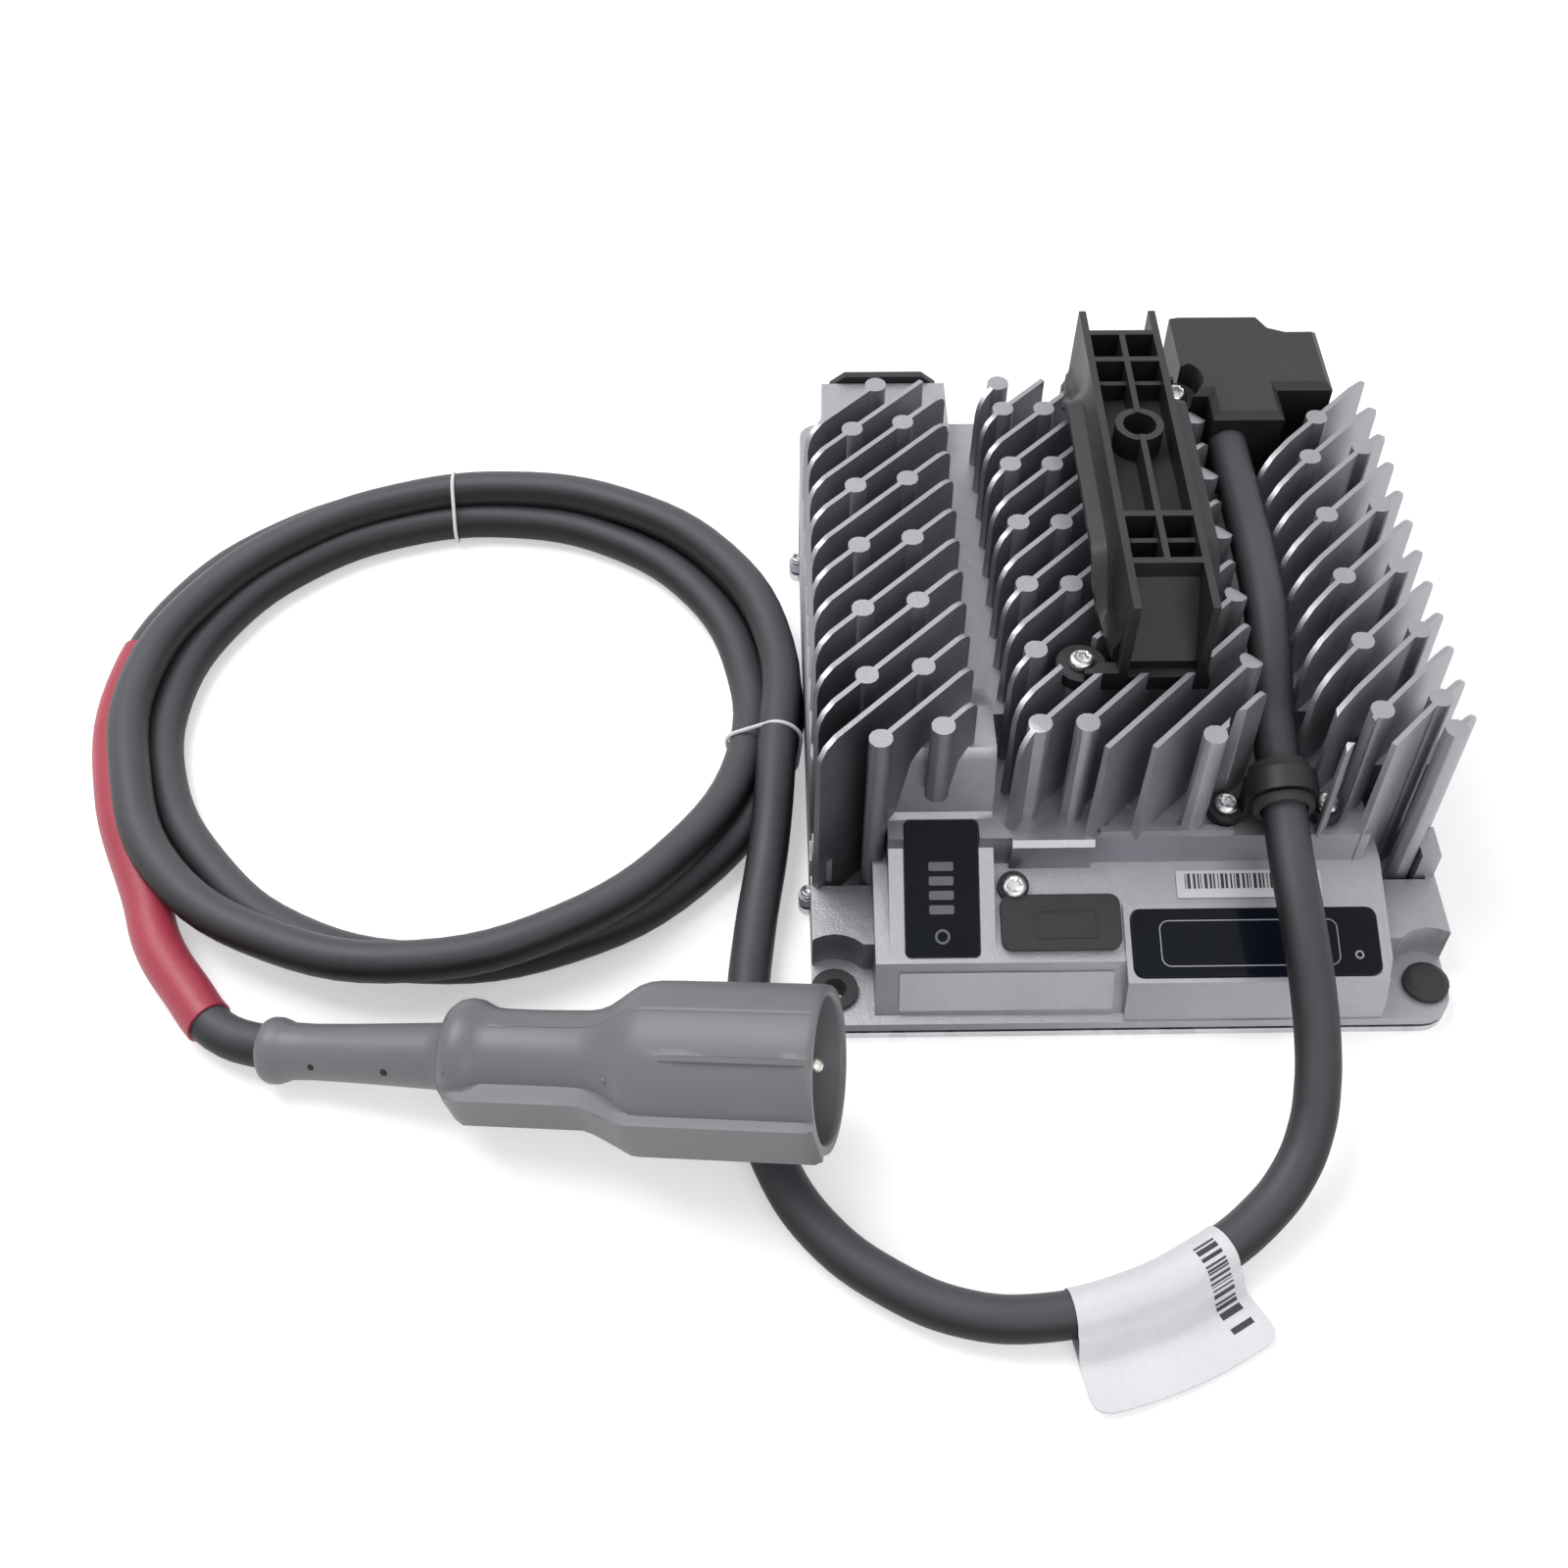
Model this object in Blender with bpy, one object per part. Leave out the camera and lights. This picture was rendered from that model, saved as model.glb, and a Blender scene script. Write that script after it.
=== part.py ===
"""On-board battery charger for a golf cart, lying on its base plate.

A die-cast aluminium housing is its own heat sink: three banks of upright fins
run diagonally over the deck, and round ejector-pin bosses stand in the fins.
A ribbed carrying handle is screwed over the middle bank.  The output lead
leaves a right-angle hood, drops through a clamp and lies in a coil beside the
charger, with the battery plug on its end.

Metres, +Z up.  The front with its panel faces -Y and the floor is z = 0.
The origin is under the middle of the charger, without its lead.
"""
import math

import bmesh
import bpy
from mathutils import Matrix, Vector

# Overall sizes
BODY_WIDTH = 0.188
BODY_LENGTH = 0.2089
HOOD_OVERHANG = 0.0157
FIN_TOP = 0.084
GAP = 0.0003

# Base plate, gasket and the rim that closes on them
PLATE_THICKNESS = 0.0025
GASKET_THICKNESS = 0.0006
GASKET_INSET = 0.004
GASKET_WIDTH = 0.004
RIM_HEIGHT = 0.0033
RIM_CORNER = 0.009
WALL = 0.003

# Decks of the casting
DECK_HEIGHT = 0.055
DECK_STEP = 0.011
LOW_DECK_DEPTH = 0.038
LOW_DECK_LEFT_INSET = 0.022
LOW_DECK_RIGHT_INSET = 0.0255
BLOCK_CORNER = 0.006
MAIN_FRONT_SETBACK = 0.0567

# Sloped connector panel below the low deck
PANEL_TOP_SHARE = 0.7205
PANEL_TOP_SETBACK = 0.0397
PANEL_FOOT_SHARE = 0.509
PANEL_FOOT_SETBACK = 0.0109
FACE_FOOT_SETBACK = 0.0031
PANEL_LEFT_INSET = 0.018
PANEL_RIGHT_INSET = 0.020

# Raised block with the sloped indicator window
LIGHT_BLOCK_INSET = 0.0222
LIGHT_BLOCK_WIDTH = 0.0307
LIGHT_FOOT_SETBACK = 0.0107
LIGHT_FOOT_SHARE = 0.482
LIGHT_TOP_SETBACK = 0.0487
LIGHT_TOP_SHARE = 1.0273
HUMP_RISE = 0.011
HUMP_START = 0.004
HUMP_BEVEL = 0.003
HUMP_LENGTH = 0.019
HUMP_RAMP = 0.018

# Small ribs cast on the low deck and the foot of the panel
RIB_WIDTH = 0.0016
RIB_RISE = 0.0012
VEE_TIP = (-0.0041, -0.0592)
VEE_FEET = ((-0.0130, -0.0706), (0.0062, -0.0706))
LIP_END = 0.040
LIP_WIDTH = 0.0022
LEDGE_GAP = 0.0051
LEDGE_WIDTH = 0.024
LEDGE_REACH = 0.0025

# Front corners: low flange, scooped pocket and mounting lug
FLANGE_HEIGHT = 0.020
FLANGE_FRONT_SETBACK = 0.0195
POCKET_FLOOR = 0.012
POCKET_FRONT_SETBACK = 0.0407
LUG_INSET = 0.0065
LUG_SETBACK = 0.0117
LUG_HOLE = 0.012
LUG_RELIEF = 0.0115

# Fins and the pin bosses in them
FIN_PITCH = 0.0093
FIN_TOP_THICKNESS = 0.0016
FIN_ROOT_THICKNESS = 0.0026
FIN_PHASE = 0.139
FIN_BACK = 0.084
FIN_FRONT = -0.0722
PIN_DIAMETER = 0.0068
PIN_STEPS = 6

# Ends of a bank, where the fin tips fall away, as (run, drop)
SOFT_END = (0.005, 0.008)
WIDE_END = (0.010, 0.009)
CLIPPED_END = (0.0035, 0.0035)
POINTED_END = (0.008, 0.006)

PIN_COLUMN_NEAR = 0.326
PIN_COLUMN_FAR = 0.6875
LEFT_BANK_INSET = 0.001
LEFT_BANK_END = -0.0482
MIDDLE_BANK = (-0.037, 0.0338)
RIGHT_BANK_START = 0.0492
RIGHT_BANK_INSET = 0.002
FOOT_POST = 0.0116

# Carrying handle
HANDLE_X = 0.0054
HANDLE_Y = 0.0209
HANDLE_LENGTH = 0.1305
HANDLE_DEPTH = 0.0112
HANDLE_WIDTH = 0.024
HANDLE_WING_WIDTH = 0.0368
HANDLE_END_WIDTH = 0.0284
HANDLE_WALL = 0.0022
FINGER_GAP = 0.0142
FOOT_DROP = 0.008
FOOT_X = 0.022
FOOT_Y = 0.0585
FOOT_RADIUS = 0.0072
FOOT_THICKNESS = 0.004
FOOT_BAR = 0.0048
RING_Y = 0.0115
RING_DIAMETER = 0.0146
RING_HOLE = 0.010
RING_SINK = 0.0004

# Screws
SCREW_HEAD = 0.0075
SCREW_HEAD_HEIGHT = 0.0028
SCREW_SHANK = 0.0035
SCREW_LENGTH = 0.009
BASE_SCREW_HEAD = 0.0048
BASE_SCREW_HEAD_HEIGHT = 0.002
BASE_SCREW_SHANK = 0.0028
SHORT_SCREW_LENGTH = 0.0056
BOARD_SCREW_HEAD = 0.0056
BOARD_SCREW_SHANK = 0.003
BOARD_SCREW_LENGTH = 0.006
TAB_RADIUS = 0.003
TAB_STANDOFF = 0.0004
TAB_PAD_DEPTH = 0.0066
TAB_PAD_WIDTH = 0.011
TAB_PAD_TOP = 0.030
SCALLOP_TOP = 0.024
TAB_FRONT_SETBACK = 0.0473
TAB_BACK_SETBACK = 0.0165

# Mains inlet at the back
INLET_INSET = 0.0283
INLET_BLOCK_WIDTH = 0.0415
INLET_BLOCK_RISE = 0.011
INLET_BLOCK_HEIGHT = 0.032
INLET_BLOCK_TAPER = 0.009
INLET_LIFT = 0.003
INLET_BLOCK_REACH = 0.0082
INLET_FLANGE_WIDTH = 0.036
INLET_FLANGE_HEIGHT = 0.031
INLET_FLANGE_THICKNESS = 0.003
INLET_BODY_WIDTH = 0.0275
INLET_BODY_HEIGHT = 0.020
INLET_BLOCK_DEPTH = 0.0156
INLET_MOUTH_WIDTH = 0.024
INLET_MOUTH_HEIGHT = 0.0165
INLET_MOUTH_DEPTH = 0.018
INLET_PIN_WIDTH = 0.004
INLET_PIN_THICKNESS = 0.002
INLET_PIN_LENGTH = 0.012
INLET_PIN_SPACING = 0.007

# Right-angle hood of the output lead, over its header
HOOD_TOP = 0.0884
HOOD_LEFT = 0.0295
HOOD_STEP = 0.0589
HOOD_RIGHT = 0.077
HOOD_FRONT = 0.0606
HOOD_NOTCH_X = 0.0363
HOOD_NOTCH_Y = 0.0724
HOOD_RIGHT_FRONT = 0.0749
HOOD_RIGHT_BACK = 0.1044
HOOD_CHAMFER = 0.0022
HOOD_CORNER_X = 0.0665
HOOD_CORNER_IN = (0.062, 0.1062)
HOOD_ROOM = 0.0008
HEADER_WIDTH = 0.026
HEADER_LENGTH = 0.018
HEADER_HEIGHT = 0.016

# Lead, its clamp and its grommet
CORD_DIAMETER = 0.0127
CORD_X = 0.0421
CORD_Z = 0.0763
CLAMP_X = 0.0413
CLAMP_Y = -0.0646
CLAMP_RISE = 0.0114
CLAMP_TILT = math.radians(15)
CLAMP_WIDTH = 0.007
CLAMP_RING = 0.0024
CLAMP_EAR_X = 0.0146
CLAMP_EAR_RADIUS = 0.0052
CLAMP_EAR_THICKNESS = 0.0032
GROMMET_WAIST = 0.0156
GROMMET_COLLAR = 0.0176
GROMMET_COLLAR_WIDTH = 0.003

# Coil of the lead beside the charger
COIL_X = -0.214
COIL_Y = 0.0124
COIL_INNER = 0.082
COIL_OUTER = 0.098
COIL_ASIDE = 0.0105
COIL_HEIGHT = 0.0235
COIL_LIFT = 0.0022
TIE_DIAMETER = 0.0015

# Heat-shrink sleeve and flag label on the lead
SLEEVE_THICKNESS = 0.0008
SLEEVE_CLEARANCE = 0.0007
FLAG_THICKNESS = 0.0005
FLAG_LENGTH = 0.022

# Battery plug
PLUG_TIP = Vector((-0.2510, -0.1196, 0.0092))
PLUG_TILT = math.radians(10.9)
PLUG_HEADING = math.radians(-9.6)
PLUG_LENGTH = 0.165
PLUG_BOOT = 0.0166
PLUG_BOOT_LENGTH = 0.057
PLUG_COLLAR = 0.031
PLUG_NECK = 0.0275
PLUG_BARREL = 0.0453
PLUG_BARREL_START = 0.113
PLUG_WALL = 0.003
PLUG_MOUTH_DEPTH = 0.036
CONTACT_DIAMETER = 0.0048
CONTACT_LENGTH = 0.024
CONTACT_RADIUS = 0.0105
CONTACT_ROOT = 0.005
CONTACT_START = 97

# Flag label on the lead, as distances along it
FLAG_START = 0.270
FLAG_WIDTH = 0.046

# Pieces set into the slopes, as (left, right) and (foot, top) up the slope
WINDOW_DEPTH = 0.0012
WINDOW_PROUD = 0.0006
LIGHT_WINDOW_INSET = 0.0046
LIGHT_WINDOW_LENGTH = 0.040
BEZEL_MARGIN = 0.0018
BEZEL_SLOPE = (-0.0068, 0.0172)
BEZEL_PROUD = 0.0008
NAME_MARGIN = 0.002
NAME_SLOPE = (-0.0052, 0.0152)
SERIAL_LEFT = 0.0165
SERIAL_RIGHT = 0.0184
SERIAL_SLOPE = (0.0188, 0.0272)
FRONT_LABEL_LEFT = 0.0028
FRONT_LABEL_RIGHT = 0.0032
FRONT_LABEL_SLOPE = (0.0018, 0.0142)
LABEL_THICKNESS = 0.0003
USB_MARGIN = 0.0017
USB_WIDTH = 0.0348
USB_SLOPE = (0.0032, 0.0196)
USB_TO_BEZEL = 0.0011
USB_SOCKET_WIDTH = 0.0132
USB_SOCKET_HEIGHT = 0.0062
USB_SOCKET_DEPTH = 0.014
USB_SOCKET_MOUTH = 0.009
USB_SOCKET_WALL = 0.0008
USB_SCREW_IN = 0.0042
USB_SCREW_UP = 0.0030
USB_TAB_THICKNESS = 0.0022
USB_TAB_RADIUS = 0.0046
USB_COVER_THICKNESS = 0.0032

# Circuit board and the parts on it
BOARD_Z = 0.011
BOARD_THICKNESS = 0.0016
BOARD_MARGIN = 0.005
POST_INSET = 0.007
POST_RADIUS = 0.0038
PART_HEADROOM = 0.0045
CORE_WIDTH = 0.042
CORE_DEPTH = 0.018
WINDING_WIDTH = 0.029
WINDING_DEPTH = 0.031
WINDING_END = 0.0055
CORE_SHARE = (0.395, 0.49)
CHOKE_OUTER = 0.034
CHOKE_BORE = 0.015
CHOKE_HEIGHT = 0.016
CHOKE_EDGE = 0.002
CHOKE_SHARE = (0.72, 0.266)
CAN_DIAMETER = 0.022
CAN_EDGE = 0.001
CAN_PITCH = 0.025
CAN_INSET = 0.016
CAN_BACK = 0.0306

# Derived planes
FRONT_Y = -(BODY_LENGTH + HOOD_OVERHANG) / 2
BACK_Y = FRONT_Y + BODY_LENGTH
HOOD_BACK = BACK_Y + HOOD_OVERHANG
HALF_WIDTH = BODY_WIDTH / 2
LUG_X = HALF_WIDTH - LUG_INSET
LOW_DECK_HEIGHT = DECK_HEIGHT - DECK_STEP
PANEL_TOP_HEIGHT = LOW_DECK_HEIGHT * PANEL_TOP_SHARE
PANEL_FOOT_HEIGHT = LOW_DECK_HEIGHT * PANEL_FOOT_SHARE
LIGHT_FOOT_HEIGHT = LOW_DECK_HEIGHT * LIGHT_FOOT_SHARE
LIGHT_TOP_HEIGHT = LOW_DECK_HEIGHT * LIGHT_TOP_SHARE
HANDLE_TOP = FIN_TOP + FINGER_GAP + HANDLE_DEPTH
LOW_DECK_LEFT = LOW_DECK_LEFT_INSET - HALF_WIDTH
LOW_DECK_RIGHT = HALF_WIDTH - LOW_DECK_RIGHT_INSET
PANEL_LEFT = PANEL_LEFT_INSET - HALF_WIDTH
PANEL_RIGHT = HALF_WIDTH - PANEL_RIGHT_INSET
LIGHT_BLOCK_LEFT = LIGHT_BLOCK_INSET - HALF_WIDTH
LIGHT_BLOCK_RIGHT = LIGHT_BLOCK_LEFT + LIGHT_BLOCK_WIDTH
HUMP_HEIGHT = DECK_HEIGHT + HUMP_RISE
LEFT_BANK = (LEFT_BANK_INSET - HALF_WIDTH, LEFT_BANK_END)
RIGHT_BANK = (RIGHT_BANK_START, HALF_WIDTH - RIGHT_BANK_INSET)
INLET_X = INLET_INSET - HALF_WIDTH
INLET_BLOCK_TOP = DECK_HEIGHT + INLET_BLOCK_RISE
INLET_BLOCK_BOTTOM = INLET_BLOCK_TOP - INLET_BLOCK_HEIGHT
CLAMP_Z = LOW_DECK_HEIGHT + CLAMP_RISE
GASKET_Z = PLATE_THICKNESS + GAP
RIM_BOTTOM = GASKET_Z + GASKET_THICKNESS + GAP
RIM_TOP = RIM_BOTTOM + RIM_HEIGHT
FIN_STEP = FIN_PITCH * math.sqrt(2)
STEP_Y = FRONT_Y + PANEL_TOP_SETBACK + LOW_DECK_DEPTH
MAIN_FRONT = FRONT_Y + MAIN_FRONT_SETBACK
PANEL_TOP_Y = FRONT_Y + PANEL_TOP_SETBACK
PANEL_FOOT_Y = FRONT_Y + PANEL_FOOT_SETBACK
CORD_RADIUS = CORD_DIAMETER / 2
EMBED = 0.001
FAR = 0.4


def material(name, colour, roughness, metallic=0.0):
    """A Principled BSDF of one colour."""
    made = bpy.data.materials.new(name)
    made.use_nodes = True
    shader = made.node_tree.nodes["Principled BSDF"]
    shader.inputs["Base Color"].default_value = (*colour, 1.0)
    shader.inputs["Roughness"].default_value = roughness
    shader.inputs["Metallic"].default_value = metallic
    return made


def object_from(bm, name, mat=None):
    """Turn a bmesh into an object whose faces point out."""
    bmesh.ops.recalc_face_normals(bm, faces=bm.faces)
    mesh = bpy.data.meshes.new(name)
    bm.to_mesh(mesh)
    bm.free()
    made = bpy.data.objects.new(name, mesh)
    bpy.context.scene.collection.objects.link(made)
    if mat:
        mesh.materials.append(mat)
    return made


def loft(rings, name="tool", mat=None):
    """Skin a list of equally long point rings and cap both ends."""
    bm = bmesh.new()
    rows = [[bm.verts.new(point) for point in ring] for ring in rings]
    count = len(rows[0])
    for low, high in zip(rows, rows[1:]):
        for i in range(count):
            j = (i + 1) % count
            bm.faces.new((low[i], low[j], high[j], high[i]))
    bm.faces.new(rows[0])
    bm.faces.new(rows[-1])
    return object_from(bm, name, mat)


def plan(outline, low, high, name="tool", mat=None):
    """A prism of an XY outline between two heights."""
    rings = [[(x, y, z) for x, y in outline] for z in (low, high)]
    return loft(rings, name, mat)


def slab_x(profile, left, right, name="tool", mat=None):
    """A prism of a YZ profile between two x values."""
    rings = [[(x, y, z) for y, z in profile] for x in (left, right)]
    return loft(rings, name, mat)


def slab_y(profile, front, back, name="tool", mat=None):
    """A prism of an XZ profile between two y values."""
    rings = [[(x, y, z) for x, z in profile] for y in (front, back)]
    return loft(rings, name, mat)


def block(low, high, name="tool", mat=None):
    """A box between two corners."""
    (x0, y0, z0), (x1, y1, z1) = low, high
    return plan([(x0, y0), (x1, y0), (x1, y1), (x0, y1)], z0, z1, name, mat)


def rounded(left, right, front, back, radius, steps=4):
    """Rectangle outline with round corners."""
    points = []
    corners = ((right, back, 0), (left, back, 1), (left, front, 2), (right, front, 3))
    for x, y, quarter in corners:
        cx = x - math.copysign(radius, x - (left + right) / 2)
        cy = y - math.copysign(radius, y - (front + back) / 2)
        for i in range(steps + 1):
            angle = math.pi / 2 * (quarter + i / steps)
            points.append((cx + radius * math.cos(angle), cy + radius * math.sin(angle)))
    return points


def turned(profile, segments=24, name="tool", mat=None):
    """Spin an (r, z) profile about Z.  It runs from axis to axis, or is a closed ring."""
    bm = bmesh.new()
    closed = profile[0][0] > 0
    rows = []
    for r, z in profile:
        if r == 0:
            rows.append([bm.verts.new((0, 0, z))] * segments)
            continue
        ring = []
        for i in range(segments):
            angle = 2 * math.pi * i / segments
            ring.append(bm.verts.new((r * math.cos(angle), r * math.sin(angle), z)))
        rows.append(ring)
    pairs = list(zip(rows, rows[1:]))
    if closed:
        pairs.append((rows[-1], rows[0]))
    for low, high in pairs:
        for i in range(segments):
            j = (i + 1) % segments
            corners = []
            for vert in (low[i], low[j], high[j], high[i]):
                if vert not in corners:
                    corners.append(vert)
            bm.faces.new(corners)
    return object_from(bm, name, mat)


def rod(x, y, radius, low, high, segments=16):
    """An upright cylinder."""
    outline = []
    for i in range(segments):
        angle = 2 * math.pi * i / segments
        outline.append((x + radius * math.cos(angle), y + radius * math.sin(angle)))
    return plan(outline, low, high)


def moved(thing, matrix):
    """Move an object's mesh."""
    thing.data.transform(matrix)
    return thing


def combine(thing, tools, operation):
    """Boolean a list of tools into an object, and remove the tools."""
    for tool in tools:
        tool.hide_render = True
        tool.display_type = "WIRE"
        step = thing.modifiers.new(operation, "BOOLEAN")
        step.operation = operation
        step.solver = "EXACT"
        step.object = tool
    depsgraph = bpy.context.evaluated_depsgraph_get()
    mesh = bpy.data.meshes.new_from_object(thing.evaluated_get(depsgraph))
    thing.modifiers.clear()
    thing.data = mesh
    for tool in tools:
        bpy.data.objects.remove(tool)
    return thing


def add(thing, *tools):
    return combine(thing, tools, "UNION")


def cut(thing, *tools):
    return combine(thing, tools, "DIFFERENCE")


def smooth(thing, degrees=35):
    thing.data.shade_smooth()
    thing.data.set_sharp_from_angle(angle=math.radians(degrees))


def screw(name, seat, head, head_height, shank, length, mat):
    """Pan-head screw standing in its hole, with its head a gap above the seat."""
    profile = [(0, -length), (shank / 2, -length), (shank / 2, GAP), (head / 2, GAP)]
    profile += [(head / 2, head_height * 0.6), (head * 0.38, head_height), (0, head_height)]
    made = turned(profile, 12, name, mat)
    made.matrix_world = seat
    smooth(made)
    return made


def screw_hole(seat, shank, length):
    """Clearance hole for a screw at the same seat."""
    hole = rod(0, 0, shank / 2 + GAP, -length - GAP, GAP + EMBED, 12)
    return moved(hole, seat)


# Slopes that carry the panel pieces: local X to the right, Y up the slope, Z outward
def slope_frame(foot_y, foot_z, top_y, top_z):
    angle = math.atan2(top_z - foot_z, top_y - foot_y)
    return Matrix.Translation((0, foot_y, foot_z)) @ Matrix.Rotation(angle, 4, "X")


PANEL = slope_frame(PANEL_FOOT_Y, PANEL_FOOT_HEIGHT, PANEL_TOP_Y, PANEL_TOP_HEIGHT)
LIGHT_FOOT_Y = FRONT_Y + LIGHT_FOOT_SETBACK
LIGHT_TOP_Y = FRONT_Y + LIGHT_TOP_SETBACK
LIGHT_FACE = slope_frame(LIGHT_FOOT_Y, LIGHT_FOOT_HEIGHT, LIGHT_TOP_Y, LIGHT_TOP_HEIGHT)
FACE_FOOT_Y = FRONT_Y + FACE_FOOT_SETBACK
FRONT_FACE = slope_frame(FACE_FOOT_Y, RIM_TOP, PANEL_FOOT_Y, PANEL_FOOT_HEIGHT)
PANEL_SLOPE = math.hypot(PANEL_TOP_Y - PANEL_FOOT_Y, PANEL_TOP_HEIGHT - PANEL_FOOT_HEIGHT)
LIGHT_SLOPE = math.hypot(LIGHT_TOP_Y - LIGHT_FOOT_Y, LIGHT_TOP_HEIGHT - LIGHT_FOOT_HEIGHT)
FACE_SLOPE = math.hypot(PANEL_FOOT_Y - FACE_FOOT_Y, PANEL_FOOT_HEIGHT - RIM_TOP)

for old in list(bpy.data.objects):
    bpy.data.objects.remove(old)

CAST = material("cast aluminium", (0.42, 0.43, 0.46), 0.42, 0.9)
STEEL = material("screw steel", (0.62, 0.62, 0.63), 0.25, 1.0)
BLACK = material("black nylon", (0.028, 0.028, 0.03), 0.5)
RUBBER = material("black rubber", (0.02, 0.02, 0.021), 0.75)
GLOSS = material("dark window", (0.012, 0.014, 0.02), 0.08)
WHITE = material("label film", (0.78, 0.8, 0.82), 0.5)
GREY = material("grey plug nylon", (0.205, 0.215, 0.22), 0.45)
RED = material("red sleeve", (0.56, 0.075, 0.105), 0.55)
JACKET = material("cord jacket", (0.022, 0.023, 0.025), 0.6)
TIE = material("white tie", (0.85, 0.85, 0.86), 0.5)
BRASS = material("plated contact", (0.72, 0.7, 0.64), 0.25, 1.0)
BOARD = material("circuit board", (0.05, 0.16, 0.07), 0.5)
FERRITE = material("ferrite", (0.05, 0.05, 0.052), 0.7)
COPPER = material("wound copper", (0.5, 0.2, 0.08), 0.4, 0.6)
CAN = material("capacitor sleeve", (0.03, 0.05, 0.12), 0.35)
GALVANISED = material("base plate", (0.5, 0.51, 0.52), 0.45, 1.0)


# Heat sink: one fin is a tapered plate that swells into round pins
def bank_top(x, bank, left_end, right_end):
    """Height of the fin tips over one bank, which fall away at both ends."""
    left_run, left_drop = left_end
    right_run, right_drop = right_end
    into_left = min(1.0, (x - bank[0]) / left_run)
    into_right = min(1.0, (bank[1] - x) / right_run)
    fall = left_drop * (1 - math.sqrt(max(0.0, 1 - (1 - into_left) ** 2)))
    fall += right_drop * (1 - math.sqrt(max(0.0, 1 - (1 - into_right) ** 2)))
    return FIN_TOP - fall


def fin_stations(bank, n, pins, ends):
    """Places along one fin, as x of its centre line."""
    start = max(bank[0], FIN_FRONT - FIN_PHASE + FIN_STEP * n)
    end = min(bank[1], FIN_BACK - FIN_PHASE + FIN_STEP * n)
    reach = PIN_DIAMETER / 2 / math.sqrt(2)
    stations = [start, end]
    for run, edge, way in ((ends[0][0], bank[0], 1), (ends[1][0], bank[1], -1)):
        for share in (0.12, 0.4, 1.0):
            stations.append(edge + way * run * share)
    for pin in pins:
        for i in range(PIN_STEPS + 1):
            swing = math.cos(math.pi * i / PIN_STEPS)
            stations.append(pin - reach * swing * 0.995)
    low = min([start] + [pin - reach * 0.995 for pin in pins if pin < start + reach])
    if pins and FIN_FRONT - FIN_PHASE + FIN_STEP * n > bank[0]:
        low = min(pins) - reach * 0.995 if min(pins) < start + 4 * reach else start
    kept = sorted(x for x in stations if low - 1e-9 <= x <= max([end] + [p + reach for p in pins]))
    spaced = [kept[0]]
    for x in kept[1:]:
        if x - spaced[-1] > 0.00015:
            spaced.append(x)
    return spaced


def fin(bm, bank, n, pins, ends, root):
    """One fin of a bank, from its root height to its tips."""
    radius = PIN_DIAMETER / 2
    rows = []
    for x in fin_stations(bank, n, pins, ends):
        y = x + FIN_PHASE - FIN_STEP * n
        tip = bank_top(x, bank, *ends)
        swell = 0.0
        for pin in pins:
            along = (x - pin) * math.sqrt(2)
            if abs(along) < radius:
                swell = math.sqrt(radius ** 2 - along ** 2)
        top = max(FIN_TOP_THICKNESS / 2, swell) / math.sqrt(2)
        foot = max(FIN_ROOT_THICKNESS / 2, swell * 1.04) / math.sqrt(2)
        rows.append([(x - foot, y + foot, root), (x + foot, y - foot, root),
                     (x + top, y - top, tip), (x - top, y + top, tip)])
    verts = [[bm.verts.new(point) for point in row] for row in rows]
    for near, far in zip(verts, verts[1:]):
        for i in range(4):
            j = (i + 1) % 4
            bm.faces.new((near[i], near[j], far[j], far[i]))
    bm.faces.new(verts[0])
    bm.faces.new(verts[-1])


def fin_bank(bank, numbers, columns, singles, ends, root, deep_root, deep):
    """All fins of one bank.  Columns hold pins on every other fin."""
    bm = bmesh.new()
    for n in numbers:
        pins = [x for x, first, last in columns if first <= n <= last and (n - first) % 2 == 0]
        pins += [x for x, number in singles if number == n]
        fin(bm, bank, n, pins, ends, deep_root if n in deep else root)
    return object_from(bm, "fins")


def share_of(span, share):
    """The place that lies at a share of the way along a span."""
    return span[0] + (span[1] - span[0]) * share


# Body of the casting, from the rim up
rim = rounded(-HALF_WIDTH, HALF_WIDTH, FRONT_Y, BACK_Y, RIM_CORNER, 5)
housing = plan(rim, RIM_BOTTOM, RIM_TOP, "heatsink_housing", CAST)
main = rounded(-HALF_WIDTH, HALF_WIDTH, MAIN_FRONT, BACK_Y, BLOCK_CORNER)
low_deck = [(LOW_DECK_LEFT, PANEL_TOP_Y), (LOW_DECK_RIGHT, PANEL_TOP_Y),
            (LOW_DECK_RIGHT, STEP_Y + WALL), (LOW_DECK_LEFT, STEP_Y + WALL)]
panel = [(FACE_FOOT_Y, RIM_BOTTOM + EMBED), (FACE_FOOT_Y, RIM_TOP),
         (PANEL_FOOT_Y, PANEL_FOOT_HEIGHT), (PANEL_TOP_Y, PANEL_TOP_HEIGHT),
         (MAIN_FRONT + EMBED, PANEL_TOP_HEIGHT), (MAIN_FRONT + EMBED, RIM_BOTTOM + EMBED)]
hump_front = LIGHT_TOP_Y + HUMP_START
hump_back = hump_front + HUMP_LENGTH
light = [(LIGHT_FOOT_Y, RIM_TOP + EMBED), (LIGHT_FOOT_Y, LIGHT_FOOT_HEIGHT),
         (LIGHT_TOP_Y, LIGHT_TOP_HEIGHT), (hump_front, HUMP_HEIGHT - HUMP_BEVEL),
         (hump_front + HUMP_BEVEL, HUMP_HEIGHT), (hump_back, HUMP_HEIGHT),
         (hump_back + HUMP_RAMP, DECK_HEIGHT - EMBED), (hump_back + HUMP_RAMP, RIM_TOP + EMBED)]
flange_front = FRONT_Y + FLANGE_FRONT_SETBACK
pocket_front = FRONT_Y + POCKET_FRONT_SETBACK
flanges = []
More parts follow.
